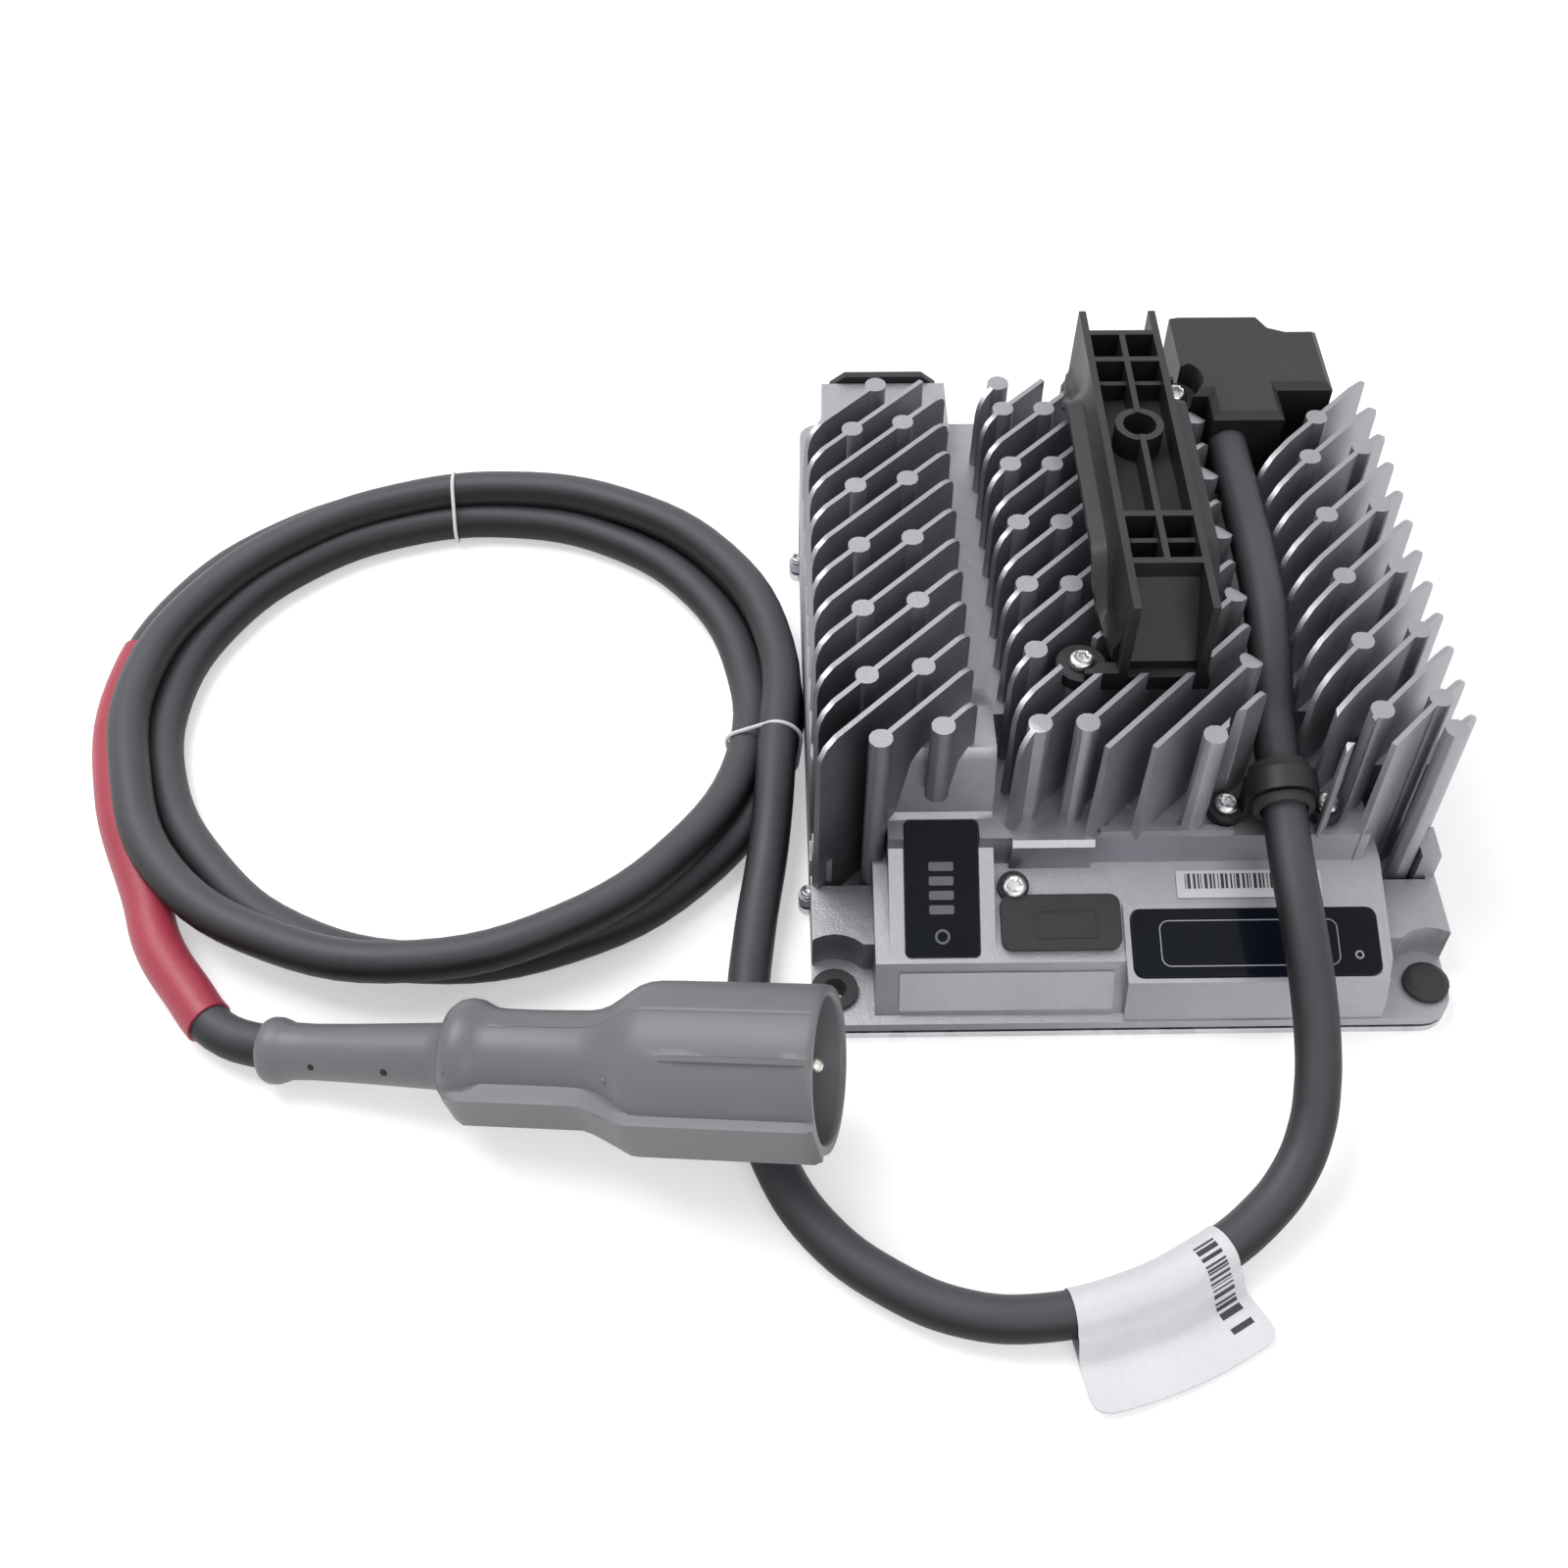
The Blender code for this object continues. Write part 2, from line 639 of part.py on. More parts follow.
for side, inner in ((-1, LOW_DECK_LEFT), (1, LOW_DECK_RIGHT)):
    outer = side * HALF_WIDTH
    flange = block((min(inner, outer), flange_front, RIM_BOTTOM + EMBED),
                   (max(inner, outer), MAIN_FRONT + EMBED, FLANGE_HEIGHT))
    outer = side * (HALF_WIDTH - WALL)
    cut(flange, block((min(inner, outer) - EMBED * (side > 0), pocket_front, POCKET_FLOOR),
                      (max(inner, outer) + EMBED * (side < 0), MAIN_FRONT, FIN_TOP)))
    flanges.append(flange)
notch = block((LIGHT_BLOCK_RIGHT, MAIN_FRONT - EMBED, LOW_DECK_HEIGHT),
              (LOW_DECK_RIGHT, STEP_Y, FIN_TOP))
body = plan(main, RIM_BOTTOM + EMBED, DECK_HEIGHT)
cut(body, notch)
add(housing, body, plan(low_deck, RIM_BOTTOM + EMBED, LOW_DECK_HEIGHT),
    slab_x(panel, PANEL_LEFT, PANEL_RIGHT),
    slab_x(light, LIGHT_BLOCK_LEFT, LIGHT_BLOCK_RIGHT), *flanges)

# Inlet block on the back wall
inlet_left = INLET_X - INLET_BLOCK_WIDTH / 2
inlet_right = INLET_X + INLET_BLOCK_WIDTH / 2
inlet_y = BACK_Y + INLET_BLOCK_REACH
inlet_z = (INLET_BLOCK_TOP + INLET_BLOCK_BOTTOM) / 2 + INLET_LIFT
inlet_front = BACK_Y - INLET_BLOCK_DEPTH
inlet_profile = [(inlet_front, DECK_HEIGHT - EMBED), (inlet_front, INLET_BLOCK_TOP - 0.001),
                 (inlet_front + 0.001, INLET_BLOCK_TOP), (inlet_y, INLET_BLOCK_TOP),
                 (inlet_y, INLET_BLOCK_BOTTOM), (BACK_Y - EMBED, INLET_BLOCK_BOTTOM - INLET_BLOCK_TAPER),
                 (BACK_Y - EMBED, DECK_HEIGHT - EMBED)]
add(housing, slab_x(inlet_profile, inlet_left, inlet_right))

# Fins stand on the decks, and those at the front corners run down into the pockets
deck_root = DECK_HEIGHT - EMBED
low_root = LOW_DECK_HEIGHT - EMBED
deep_root = POCKET_FLOOR - EMBED
left_fins = fin_bank(LEFT_BANK, range(-1, 12),
                     ((share_of(LEFT_BANK, PIN_COLUMN_NEAR), 0, 8),
                      (share_of(LEFT_BANK, PIN_COLUMN_FAR), 1, 9)),
                     ((share_of(LEFT_BANK, 0.513), -1), (share_of(LEFT_BANK, 0.388), 10),
                      (share_of(LEFT_BANK, 0.779), 11)),
                     (SOFT_END, CLIPPED_END), deck_root, deep_root, (9, 10))
middle_fins = fin_bank(MIDDLE_BANK, range(2, 18),
                       ((-0.0297, 3, 11), (-0.0166, 4, 10), (0.0313, 8, 16)),
                       ((-0.0302, 2), (-0.0312, 13), (-0.018, 14), (0.0166, 17)),
                       (SOFT_END, CLIPPED_END), low_root, deep_root, ())
right_fins = fin_bank(RIGHT_BANK, range(11, 23),
                      ((share_of(RIGHT_BANK, 0.36), 12, 20), (share_of(RIGHT_BANK, 0.766), 13, 21)),
                      ((share_of(RIGHT_BANK, 0.491), 11), (share_of(RIGHT_BANK, 0.808), 22)),
                      (WIDE_END, POINTED_END), low_root, deep_root, (21, 22))
add(housing, left_fins, middle_fins, right_fins)

# Posts under the two handle feet
foot_seat = FIN_TOP - FOOT_DROP
feet = [(HANDLE_X - FOOT_X, HANDLE_Y - FOOT_Y), (HANDLE_X + FOOT_X, HANDLE_Y + FOOT_Y)]
add(housing, *[rod(x, y, FOOT_POST / 2, low_root, FIN_TOP - EMBED) for x, y in feet])

# The casting is cored from below
shell_x = HALF_WIDTH - WALL
core_back = block((-shell_x, STEP_Y + WALL, 0), (shell_x, BACK_Y - WALL, DECK_HEIGHT - WALL))
core_front = block((-shell_x, MAIN_FRONT + WALL, 0),
                   (shell_x, STEP_Y + WALL + EMBED, LOW_DECK_HEIGHT - WALL))
core_panel = [(FACE_FOOT_Y + WALL * 1.3, 0), (FACE_FOOT_Y + WALL * 1.3, RIM_TOP - EMBED),
              (PANEL_FOOT_Y + WALL, PANEL_FOOT_HEIGHT - WALL * 1.2),
              (PANEL_TOP_Y + WALL, PANEL_TOP_HEIGHT - WALL),
              (PANEL_TOP_Y + WALL, LOW_DECK_HEIGHT - WALL),
              (MAIN_FRONT + WALL + EMBED, LOW_DECK_HEIGHT - WALL), (MAIN_FRONT + WALL + EMBED, 0)]
core_light = core_panel[:4] + [(MAIN_FRONT + WALL + EMBED, PANEL_TOP_HEIGHT - WALL), core_panel[-1]]
core = add(core_back, core_front,
           slab_x(core_panel, LIGHT_BLOCK_RIGHT, LOW_DECK_RIGHT - WALL),
           slab_x(core_light, LIGHT_BLOCK_LEFT + WALL, LIGHT_BLOCK_RIGHT + EMBED))

# Board posts hang from the deck inside the core
board_left = -shell_x + BOARD_MARGIN
board_right = shell_x - BOARD_MARGIN
board_front = STEP_Y + WALL + BOARD_MARGIN
board_back = BACK_Y - WALL - BOARD_MARGIN
board_posts = [(x, y) for x in (board_left + POST_INSET, board_right - POST_INSET)
               for y in (board_front + POST_INSET, board_back - POST_INSET)]
post_bottom = BOARD_Z + BOARD_THICKNESS + GAP

# Screws of the base plate sit in side tabs, with a scallop in the wall above each
tab_x = HALF_WIDTH + TAB_STANDOFF
tabs = [(side * tab_x, y) for side in (-1, 1)
        for y in (FRONT_Y + TAB_FRONT_SETBACK, BACK_Y - TAB_BACK_SETBACK)]
pads = []
scallops = []
for x, y in tabs:
    inner = x - math.copysign(TAB_PAD_DEPTH, x)
    edge = math.copysign(HALF_WIDTH - EMBED / 2, x)
    pads.append(block((min(inner, edge), y - TAB_PAD_WIDTH / 2, RIM_BOTTOM),
                      (max(inner, edge), y + TAB_PAD_WIDTH / 2, TAB_PAD_TOP)))
    scallops.append(rod(x, y, TAB_RADIUS, RIM_TOP, SCALLOP_TOP, 16))

foot_clearance = FOOT_RADIUS + 2 * GAP
bar_half = HANDLE_END_WIDTH / 2 + 2 * GAP
end_y = HANDLE_LENGTH / 2
foot_pockets = []
for side, (x, y) in zip((-1, 1), feet):
    foot_pockets.append(rod(x, y, foot_clearance, foot_seat, FAR, 20))
    near = HANDLE_Y + side * (end_y - FOOT_BAR - 2 * GAP)
    far = HANDLE_Y + side * (end_y + 2 * GAP)
    sides = (x, HANDLE_X - side * bar_half)
    foot_pockets.append(block((min(sides), min(near, far), foot_seat),
                              (max(sides), max(near, far), FAR)))

hood = [(HOOD_NOTCH_X, HOOD_FRONT), (HOOD_STEP, HOOD_FRONT), (HOOD_STEP, HOOD_RIGHT_FRONT),
        (HOOD_RIGHT, HOOD_RIGHT_FRONT), (HOOD_RIGHT, HOOD_RIGHT_BACK),
        (HOOD_CORNER_X, HOOD_RIGHT_BACK), HOOD_CORNER_IN, (HOOD_STEP, HOOD_BACK), (HOOD_LEFT, HOOD_BACK),
        (HOOD_LEFT, HOOD_NOTCH_Y), (HOOD_NOTCH_X, HOOD_NOTCH_Y)]


def grown(outline, distance):
    """Offset a counter-clockwise outline outward, or inward if negative."""
    points = []
    count = len(outline)
    for i in range(count):
        before = Vector(outline[i - 1])
        here = Vector(outline[i])
        after = Vector(outline[(i + 1) % count])
        into = (here - before).normalized()
        out = (after - here).normalized()
        normal = Vector((into.y + out.y, -into.x - out.x)).normalized()
        scale = distance / max(0.3, normal.dot(Vector((into.y, -into.x))))
        points.append((here.x + normal.x * scale, here.y + normal.y * scale))
    return points


hood_room = plan(grown(hood, HOOD_ROOM), DECK_HEIGHT, FAR)
ears = [(CLAMP_X + side * CLAMP_EAR_X, CLAMP_Y) for side in (-1, 1)]
ear_rooms = [rod(x, y, CLAMP_EAR_RADIUS + 2 * GAP, LOW_DECK_HEIGHT, FAR) for x, y in ears]
for half_x, half_y in ((CLAMP_EAR_X, CLAMP_WIDTH / 2 + GAP),
                       (GROMMET_COLLAR / 2 + CLAMP_RING, CLAMP_WIDTH / 2 + 0.0045)):
    ear_rooms.append(block((CLAMP_X - half_x, CLAMP_Y - half_y, LOW_DECK_HEIGHT),
                           (CLAMP_X + half_x, CLAMP_Y + half_y, FAR)))
lug_y = FRONT_Y + LUG_SETBACK
reliefs = [rod(side * LUG_X, lug_y, LUG_RELIEF, RIM_TOP, DECK_HEIGHT, 24) for side in (-1, 1)]
lug_holes = [rod(side * LUG_X, lug_y, LUG_HOLE / 2, -EMBED, RIM_TOP + EMBED, 20)
             for side in (-1, 1)]
inlet_hole = block((INLET_X - INLET_BODY_WIDTH / 2 - GAP, inlet_front + WALL - GAP,
                    inlet_z - INLET_BODY_HEIGHT / 2 - GAP),
                   (INLET_X + INLET_BODY_WIDTH / 2 + GAP, inlet_y + EMBED,
                    inlet_z + INLET_BODY_HEIGHT / 2 + GAP))

# Pieces set into the slopes share one outline with their recess
light_middle = LIGHT_SLOPE / 2
LIGHT_WINDOW = (LIGHT_BLOCK_LEFT + LIGHT_WINDOW_INSET, LIGHT_BLOCK_RIGHT - LIGHT_WINDOW_INSET,
                light_middle - LIGHT_WINDOW_LENGTH / 2, light_middle + LIGHT_WINDOW_LENGTH / 2)
usb_left = LIGHT_BLOCK_RIGHT + USB_MARGIN
USB_COVER = (usb_left, usb_left + USB_WIDTH, *USB_SLOPE)
USB_SCREW = (usb_left + USB_SCREW_IN, USB_SLOPE[1] + USB_SCREW_UP)
BEZEL = (usb_left + USB_WIDTH + USB_TO_BEZEL, PANEL_RIGHT - BEZEL_MARGIN, *BEZEL_SLOPE)
NAME_WINDOW = (BEZEL[0] + NAME_MARGIN, BEZEL[1] - NAME_MARGIN, *NAME_SLOPE)
SERIAL_LABEL = (BEZEL[0] + SERIAL_LEFT, PANEL_RIGHT - SERIAL_RIGHT, *SERIAL_SLOPE)
FRONT_LABEL = (LIGHT_BLOCK_LEFT + FRONT_LABEL_LEFT, BEZEL[0] - FRONT_LABEL_RIGHT,
               *FRONT_LABEL_SLOPE)
usb_x = (USB_COVER[0] + USB_COVER[1]) / 2
usb_s = (USB_COVER[2] + USB_COVER[3]) / 2


def plate_on(frame, extents, low, high, radius, name="tool", mat=None):
    """A rounded plate in the frame of a slope."""
    made = plan(rounded(*extents, radius), low, high, name, mat)
    return moved(made, frame)


def swollen(extents, by):
    left, right, foot, top = extents
    return (left - by, right + by, foot - by, top + by)


bezel_foot = PANEL @ Vector((0, BEZEL[2], BEZEL_PROUD))
bezel_top = PANEL @ Vector((0, BEZEL[3], BEZEL_PROUD))
bezel_profile = [(FRONT_Y + EMBED / 2, RIM_TOP - EMBED), (FRONT_Y + EMBED / 2, RIM_TOP + EMBED / 2),
                 (bezel_foot.y, bezel_foot.z), (bezel_top.y, bezel_top.z),
                 (bezel_top.y, bezel_top.z - WALL), (PANEL_FOOT_Y + EMBED, RIM_TOP - EMBED)]
add(housing, slab_x(bezel_profile, BEZEL[0], BEZEL[1]))

# Ribs: a vee and a front lip on the low deck, and a ledge behind the cover
rib_top = LOW_DECK_HEIGHT + RIB_RISE
ribs = []
for foot in VEE_FEET:
    start = Vector(VEE_TIP)
    side = (Vector(foot) - start).orthogonal().normalized() * RIB_WIDTH / 2
    outline = [start + side, Vector(foot) + side, Vector(foot) - side, start - side]
    ribs.append(plan([tuple(p) for p in outline], low_root, rib_top))
ledge_left = LIGHT_BLOCK_RIGHT + LEDGE_GAP
ledge_right = ledge_left + LEDGE_WIDTH
lip_right = LOW_DECK_RIGHT - LIP_END
ribs.append(block((ledge_right + RIB_WIDTH, PANEL_TOP_Y + EMBED, low_root),
                  (lip_right, PANEL_TOP_Y + EMBED + LIP_WIDTH, rib_top)))
ledge_y = PANEL_TOP_Y - LEDGE_REACH
ledge = [(PANEL_TOP_Y + EMBED, PANEL_TOP_HEIGHT - EMBED),
         (ledge_y + EMBED, (PANEL @ Vector((0, PANEL_SLOPE - LEDGE_REACH, 0))).z - EMBED),
         (ledge_y, LOW_DECK_HEIGHT - RIB_WIDTH), (ledge_y + RIB_WIDTH, LOW_DECK_HEIGHT),
         (PANEL_TOP_Y + EMBED, LOW_DECK_HEIGHT)]
ribs.append(slab_x(ledge, ledge_left, ledge_right))
add(housing, *ribs)
window_recess = plate_on(LIGHT_FACE, swollen(LIGHT_WINDOW, GAP), -WINDOW_DEPTH, 0.02, 0.0018)
name_recess = plate_on(PANEL, swollen(NAME_WINDOW, GAP), BEZEL_PROUD - WINDOW_DEPTH, 0.02, 0.003)
usb_hole = plate_on(PANEL, (usb_x - USB_SOCKET_WIDTH / 2 - GAP, usb_x + USB_SOCKET_WIDTH / 2 + GAP,
                            usb_s - USB_SOCKET_HEIGHT / 2 - GAP,
                            usb_s + USB_SOCKET_HEIGHT / 2 + GAP), -0.02, 0.02, 0.0005)
cut(housing, core)
add(housing, *pads, *[rod(x, y, POST_RADIUS, post_bottom, DECK_HEIGHT - EMBED) for x, y in board_posts],
    *[rod(x, y, TAB_RADIUS, RIM_BOTTOM, RIM_TOP, 16) for x, y in tabs])

# Seats of every screw, as the frame of its head
usb_seat = PANEL @ Matrix.Translation((*USB_SCREW, GAP + USB_TAB_THICKNESS))
foot_seats = [Matrix.Translation((x, y, foot_seat + GAP + FOOT_THICKNESS)) for x, y in feet]
ear_top = LOW_DECK_HEIGHT + GAP + CLAMP_EAR_THICKNESS
clamp_seats = [Matrix.Translation((x, y, ear_top)) for x, y in ears]
board_seats = [Matrix.Translation((x, y, BOARD_Z)) @ Matrix.Rotation(math.pi, 4, "X")
               for x, y in board_posts]
base_seats = [Matrix.Translation((x, y, RIM_TOP)) for x, y in tabs]
base_length = RIM_TOP - GAP
holes = [screw_hole(seat, SCREW_SHANK, SCREW_LENGTH) for seat in foot_seats]
holes += [screw_hole(seat, SCREW_SHANK, SHORT_SCREW_LENGTH) for seat in clamp_seats]
holes += [screw_hole(usb_seat, SCREW_SHANK, SHORT_SCREW_LENGTH)]
holes += [screw_hole(seat, BOARD_SCREW_SHANK, BOARD_SCREW_LENGTH) for seat in board_seats]
holes += [screw_hole(seat, BASE_SCREW_SHANK, base_length) for seat in base_seats]
cut(housing, *foot_pockets, hood_room, *ear_rooms, *reliefs, *lug_holes, inlet_hole, window_recess,
    name_recess, usb_hole, *scallops, *holes)
smooth(housing, 40)


# Base plate and gasket
base_plate = plan(rim, 0, PLATE_THICKNESS, "base_plate", GALVANISED)
add(base_plate, *[rod(x, y, TAB_RADIUS, 0, PLATE_THICKNESS) for x, y in tabs])
cut(base_plate, *[rod(side * LUG_X, lug_y, LUG_HOLE / 2, -EMBED, RIM_TOP, 20) for side in (-1, 1)],
    *[screw_hole(seat, BASE_SCREW_SHANK, base_length + EMBED) for seat in base_seats])
seal_x = HALF_WIDTH - GASKET_INSET
seal_back = BACK_Y - GASKET_INSET
seal_front = FRONT_Y + GASKET_INSET / 2
lug_back = lug_y + LUG_HOLE / 2 + GASKET_INSET / 2
lug_side = LUG_X - LUG_HOLE / 2 - GASKET_INSET / 2
seal = [(-lug_side, seal_front), (lug_side, seal_front), (lug_side, lug_back), (seal_x, lug_back),
        (seal_x, seal_back), (-seal_x, seal_back), (-seal_x, lug_back), (-lug_side, lug_back)]
gasket = plan(seal, GASKET_Z, GASKET_Z + GASKET_THICKNESS, "base_gasket", RUBBER)
cut(gasket, plan(grown(seal, -GASKET_WIDTH), 0, FIN_TOP))
for i, seat in enumerate(base_seats, 1):
    screw(f"base_screw_{i}", seat, BASE_SCREW_HEAD, BASE_SCREW_HEAD_HEIGHT, BASE_SCREW_SHANK,
          base_length, STEEL)

# Rubber in the mounting lugs: an open bush on the left, a domed plug on the right
stem = LUG_HOLE / 2 - GAP
bush_bore = 0.0035
cap_z = RIM_TOP + GAP
bush = turned([(bush_bore, GAP), (stem, GAP), (stem, cap_z), (stem + 0.0013, cap_z),
               (stem + 0.0013, cap_z + 0.0013), (bush_bore, cap_z + 0.0013)],
              20, "lug_bush", RUBBER)
bush.location = (-LUG_X, lug_y, 0)
smooth(bush)
lug_plug = turned([(0, GAP), (stem, GAP), (stem, cap_z), (stem + 0.0011, cap_z),
                   (stem + 0.0011, cap_z + 0.0015), (stem - 0.0008, cap_z + 0.003),
                   (0, cap_z + 0.0036)], 20, "lug_plug", RUBBER)
lug_plug.location = (LUG_X, lug_y, 0)
smooth(lug_plug)


# Carrying handle: a channel with flared flanks, arched underneath
def underside(u):
    """Height of the handle's underside at a distance from its middle."""
    leg = FIN_TOP + GAP
    if abs(u) > end_y - FOOT_BAR:
        return foot_seat + GAP
    share = min(1.0, max(0.0, (abs(u) - 0.030) / 0.020))
    ease = share * share * (3 - 2 * share)
    return FIN_TOP + FINGER_GAP - (FINGER_GAP - GAP) * ease if share < 1 else leg


def wing(u):
    """Half width of the lower flange."""
    share = min(1.0, max(0.0, (abs(u) - 0.038) / 0.020))
    return (HANDLE_WING_WIDTH + (HANDLE_END_WIDTH - HANDLE_WING_WIDTH) * share) / 2


rings = []
spots = [end_y, end_y - FOOT_BAR + 0.00001, end_y - FOOT_BAR, 0.054, 0.050, 0.046, 0.042,
         0.038, 0.034, 0.030, 0.015]
for u in [-v for v in spots] + [0.0] + spots[::-1]:
    low = underside(u)
    w = wing(u)
    t = HANDLE_WIDTH / 2
    half = [(t, HANDLE_TOP), (t + 0.0005, low + 0.0072), (t + 0.0022, low + 0.0036),
            (w, low + HANDLE_WALL), (w, low)]
    ring = half + [(-x, z) for x, z in half[::-1]]
    rings.append([(HANDLE_X + x, HANDLE_Y + u, z) for x, z in ring])
handle = loft(rings, "carry_handle", BLACK)
inner = HANDLE_WIDTH / 2 - HANDLE_WALL
rib = 0.0009
web = HANDLE_WALL / 2
cross_ribs = (-0.0465, -0.0275, 0.0415, 0.0545)
cell_floor = FIN_TOP + FINGER_GAP + HANDLE_WALL
cells = []
for near, far in zip(cross_ribs, cross_ribs[1:]):
    for side in (-1, 1):
        edges = (side * rib, side * inner)
        cells.append(block((HANDLE_X + min(edges), HANDLE_Y + near + web, cell_floor),
                           (HANDLE_X + max(edges), HANDLE_Y + far - web, FAR)))
bays = []
for side, edge in ((-1, cross_ribs[0]), (1, cross_ribs[-1])):
    start = abs(edge) + web
    bay = [(start, FAR), (start, HANDLE_TOP - 0.0055), (end_y - 0.0035, FIN_TOP + 0.0005),
           (end_y - 0.0035, FIN_TOP - 0.0025), (end_y + EMBED, FIN_TOP - 0.0025),
           (end_y + EMBED, FAR)]
    hollow = [(start + 0.001, 0), (start + 0.001, HANDLE_TOP - 0.0105),
              (end_y - FOOT_BAR - 0.002, FIN_TOP - 0.0015), (end_y - FOOT_BAR - 0.002, 0)]
    for outline, half in ((bay, inner), (hollow, inner)):
        path = [(HANDLE_Y + side * u, z) for u, z in outline]
        bays.append(slab_x(path, HANDLE_X - half, HANDLE_X + half))
cut(handle, *cells, *bays)
ring_boss = rod(HANDLE_X, HANDLE_Y + RING_Y, RING_DIAMETER / 2, cell_floor - EMBED,
                HANDLE_TOP - RING_SINK, 20)
low_ribs = [block((HANDLE_X - inner - EMBED, HANDLE_Y + y - rib, cell_floor - EMBED),
                  (HANDLE_X + inner + EMBED, HANDLE_Y + y + rib, HANDLE_TOP - 0.003))
            for y in (-0.0355, 0.0335)]
pads = [rod(x, y, FOOT_RADIUS, foot_seat + GAP, foot_seat + GAP + FOOT_THICKNESS, 20)
        for x, y in feet]
links = []
for side, (x, y) in zip((-1, 1), feet):
    near = HANDLE_Y + side * (end_y - FOOT_BAR + EMBED / 2)
    far = HANDLE_Y + side * end_y
    xs = (x, HANDLE_X + side * (inner + EMBED))
    links.append(block((min(xs), min(near, far), foot_seat + GAP),
                       (max(xs), max(near, far), foot_seat + GAP + FOOT_THICKNESS + 0.003)))
add(handle, ring_boss, *low_ribs, *pads, *links)
bore = rod(HANDLE_X, HANDLE_Y + RING_Y, RING_HOLE / 2, FIN_TOP, FAR, 20)
wells = [rod(x, y, SCREW_HEAD / 2 + 0.0012, foot_seat + GAP + FOOT_THICKNESS, HANDLE_TOP - 0.008, 16)
         for x, y in feet]
cut(handle, bore, *wells, *[screw_hole(seat, SCREW_SHANK, SCREW_LENGTH) for seat in foot_seats])
smooth(handle, 30)
for i, seat in enumerate(foot_seats, 1):
    screw(f"handle_screw_{i}", seat, SCREW_HEAD, SCREW_HEAD_HEIGHT, SCREW_SHANK, SCREW_LENGTH, STEEL)

# Windows, labels and the rubber cover on the slopes
plate_on(LIGHT_FACE, LIGHT_WINDOW, GAP - WINDOW_DEPTH, WINDOW_PROUD, 0.0016,
         "indicator_window", GLOSS)
plate_on(PANEL, NAME_WINDOW, BEZEL_PROUD + GAP - WINDOW_DEPTH, BEZEL_PROUD + WINDOW_PROUD, 0.003,
         "name_window", GLOSS)
plate_on(PANEL, SERIAL_LABEL, GAP, GAP + LABEL_THICKNESS, 0.0006, "serial_label", WHITE)
plate_on(FRONT_FACE, FRONT_LABEL, GAP, GAP + LABEL_THICKNESS, 0.0006, "front_label", WHITE)
usb_cover = plan(rounded(*USB_COVER, 0.003), GAP, USB_COVER_THICKNESS, "usb_cover", RUBBER)
tab_top = GAP + USB_TAB_THICKNESS
cut(usb_cover, rod(*USB_SCREW, SCREW_HEAD / 2 + GAP, 0, 0.02, 20))
tab = turned([(SCREW_SHANK / 2 + GAP, GAP), (USB_TAB_RADIUS, GAP), (USB_TAB_RADIUS, tab_top),
              (SCREW_SHANK / 2 + GAP, tab_top)], 20)
add(usb_cover, moved(tab, Matrix.Translation((*USB_SCREW, 0))))
moved(usb_cover, PANEL)
smooth(usb_cover)
screw("usb_cover_screw", usb_seat, SCREW_HEAD, SCREW_HEAD_HEIGHT, SCREW_SHANK,
      SHORT_SCREW_LENGTH, STEEL)
usb_socket = plate_on(PANEL, (usb_x - USB_SOCKET_WIDTH / 2, usb_x + USB_SOCKET_WIDTH / 2,
                              usb_s - USB_SOCKET_HEIGHT / 2, usb_s + USB_SOCKET_HEIGHT / 2),
                      -USB_SOCKET_DEPTH, 0, 0.0005, "usb_socket", STEEL)
mouth_x = USB_SOCKET_WIDTH / 2 - USB_SOCKET_WALL
mouth_s = USB_SOCKET_HEIGHT / 2 - USB_SOCKET_WALL
cut(usb_socket, plate_on(PANEL, (usb_x - mouth_x, usb_x + mouth_x, usb_s - mouth_s, usb_s + mouth_s),
                         -USB_SOCKET_MOUTH, USB_SOCKET_MOUTH, 0.0005))

# Mains inlet: a flanged shell with three blades in its mouth
flange_z = inlet_z
half_w = INLET_FLANGE_WIDTH / 2
half_h = INLET_FLANGE_HEIGHT / 2
inlet_seat = inlet_y + GAP
inlet_face = inlet_seat + INLET_FLANGE_THICKNESS
shoulder = half_w - 0.005
flange_outline = [(INLET_X - half_w, flange_z - half_h), (INLET_X + half_w, flange_z - half_h),
                  (INLET_X + half_w, flange_z + half_h - 0.004),
                  (INLET_X + shoulder, flange_z + half_h), (INLET_X - shoulder, flange_z + half_h),
                  (INLET_X - half_w, flange_z + half_h - 0.004)]
inlet = slab_y(flange_outline, inlet_seat, inlet_face, "ac_inlet", BLACK)
inlet_rear = inlet_front + WALL
add(inlet, block((INLET_X - INLET_BODY_WIDTH / 2, inlet_rear, inlet_z - INLET_BODY_HEIGHT / 2),
                 (INLET_X + INLET_BODY_WIDTH / 2, inlet_seat + EMBED,
                  inlet_z + INLET_BODY_HEIGHT / 2)))
mouth_w = INLET_MOUTH_WIDTH / 2
mouth_h = INLET_MOUTH_HEIGHT / 2
corner = 0.0045
mouth = [(INLET_X - mouth_w, inlet_z - mouth_h), (INLET_X + mouth_w, inlet_z - mouth_h),
         (INLET_X + mouth_w, inlet_z + mouth_h - corner),
         (INLET_X + mouth_w - corner, inlet_z + mouth_h),
         (INLET_X - mouth_w + corner, inlet_z + mouth_h),
         (INLET_X - mouth_w, inlet_z + mouth_h - corner)]
mouth_floor = inlet_face - INLET_MOUTH_DEPTH
blades = [(INLET_X - INLET_PIN_SPACING, inlet_z - 0.0016), (INLET_X, inlet_z + 0.0024),
          (INLET_X + INLET_PIN_SPACING, inlet_z - 0.0016)]
blade_root = 0.003
slots = []
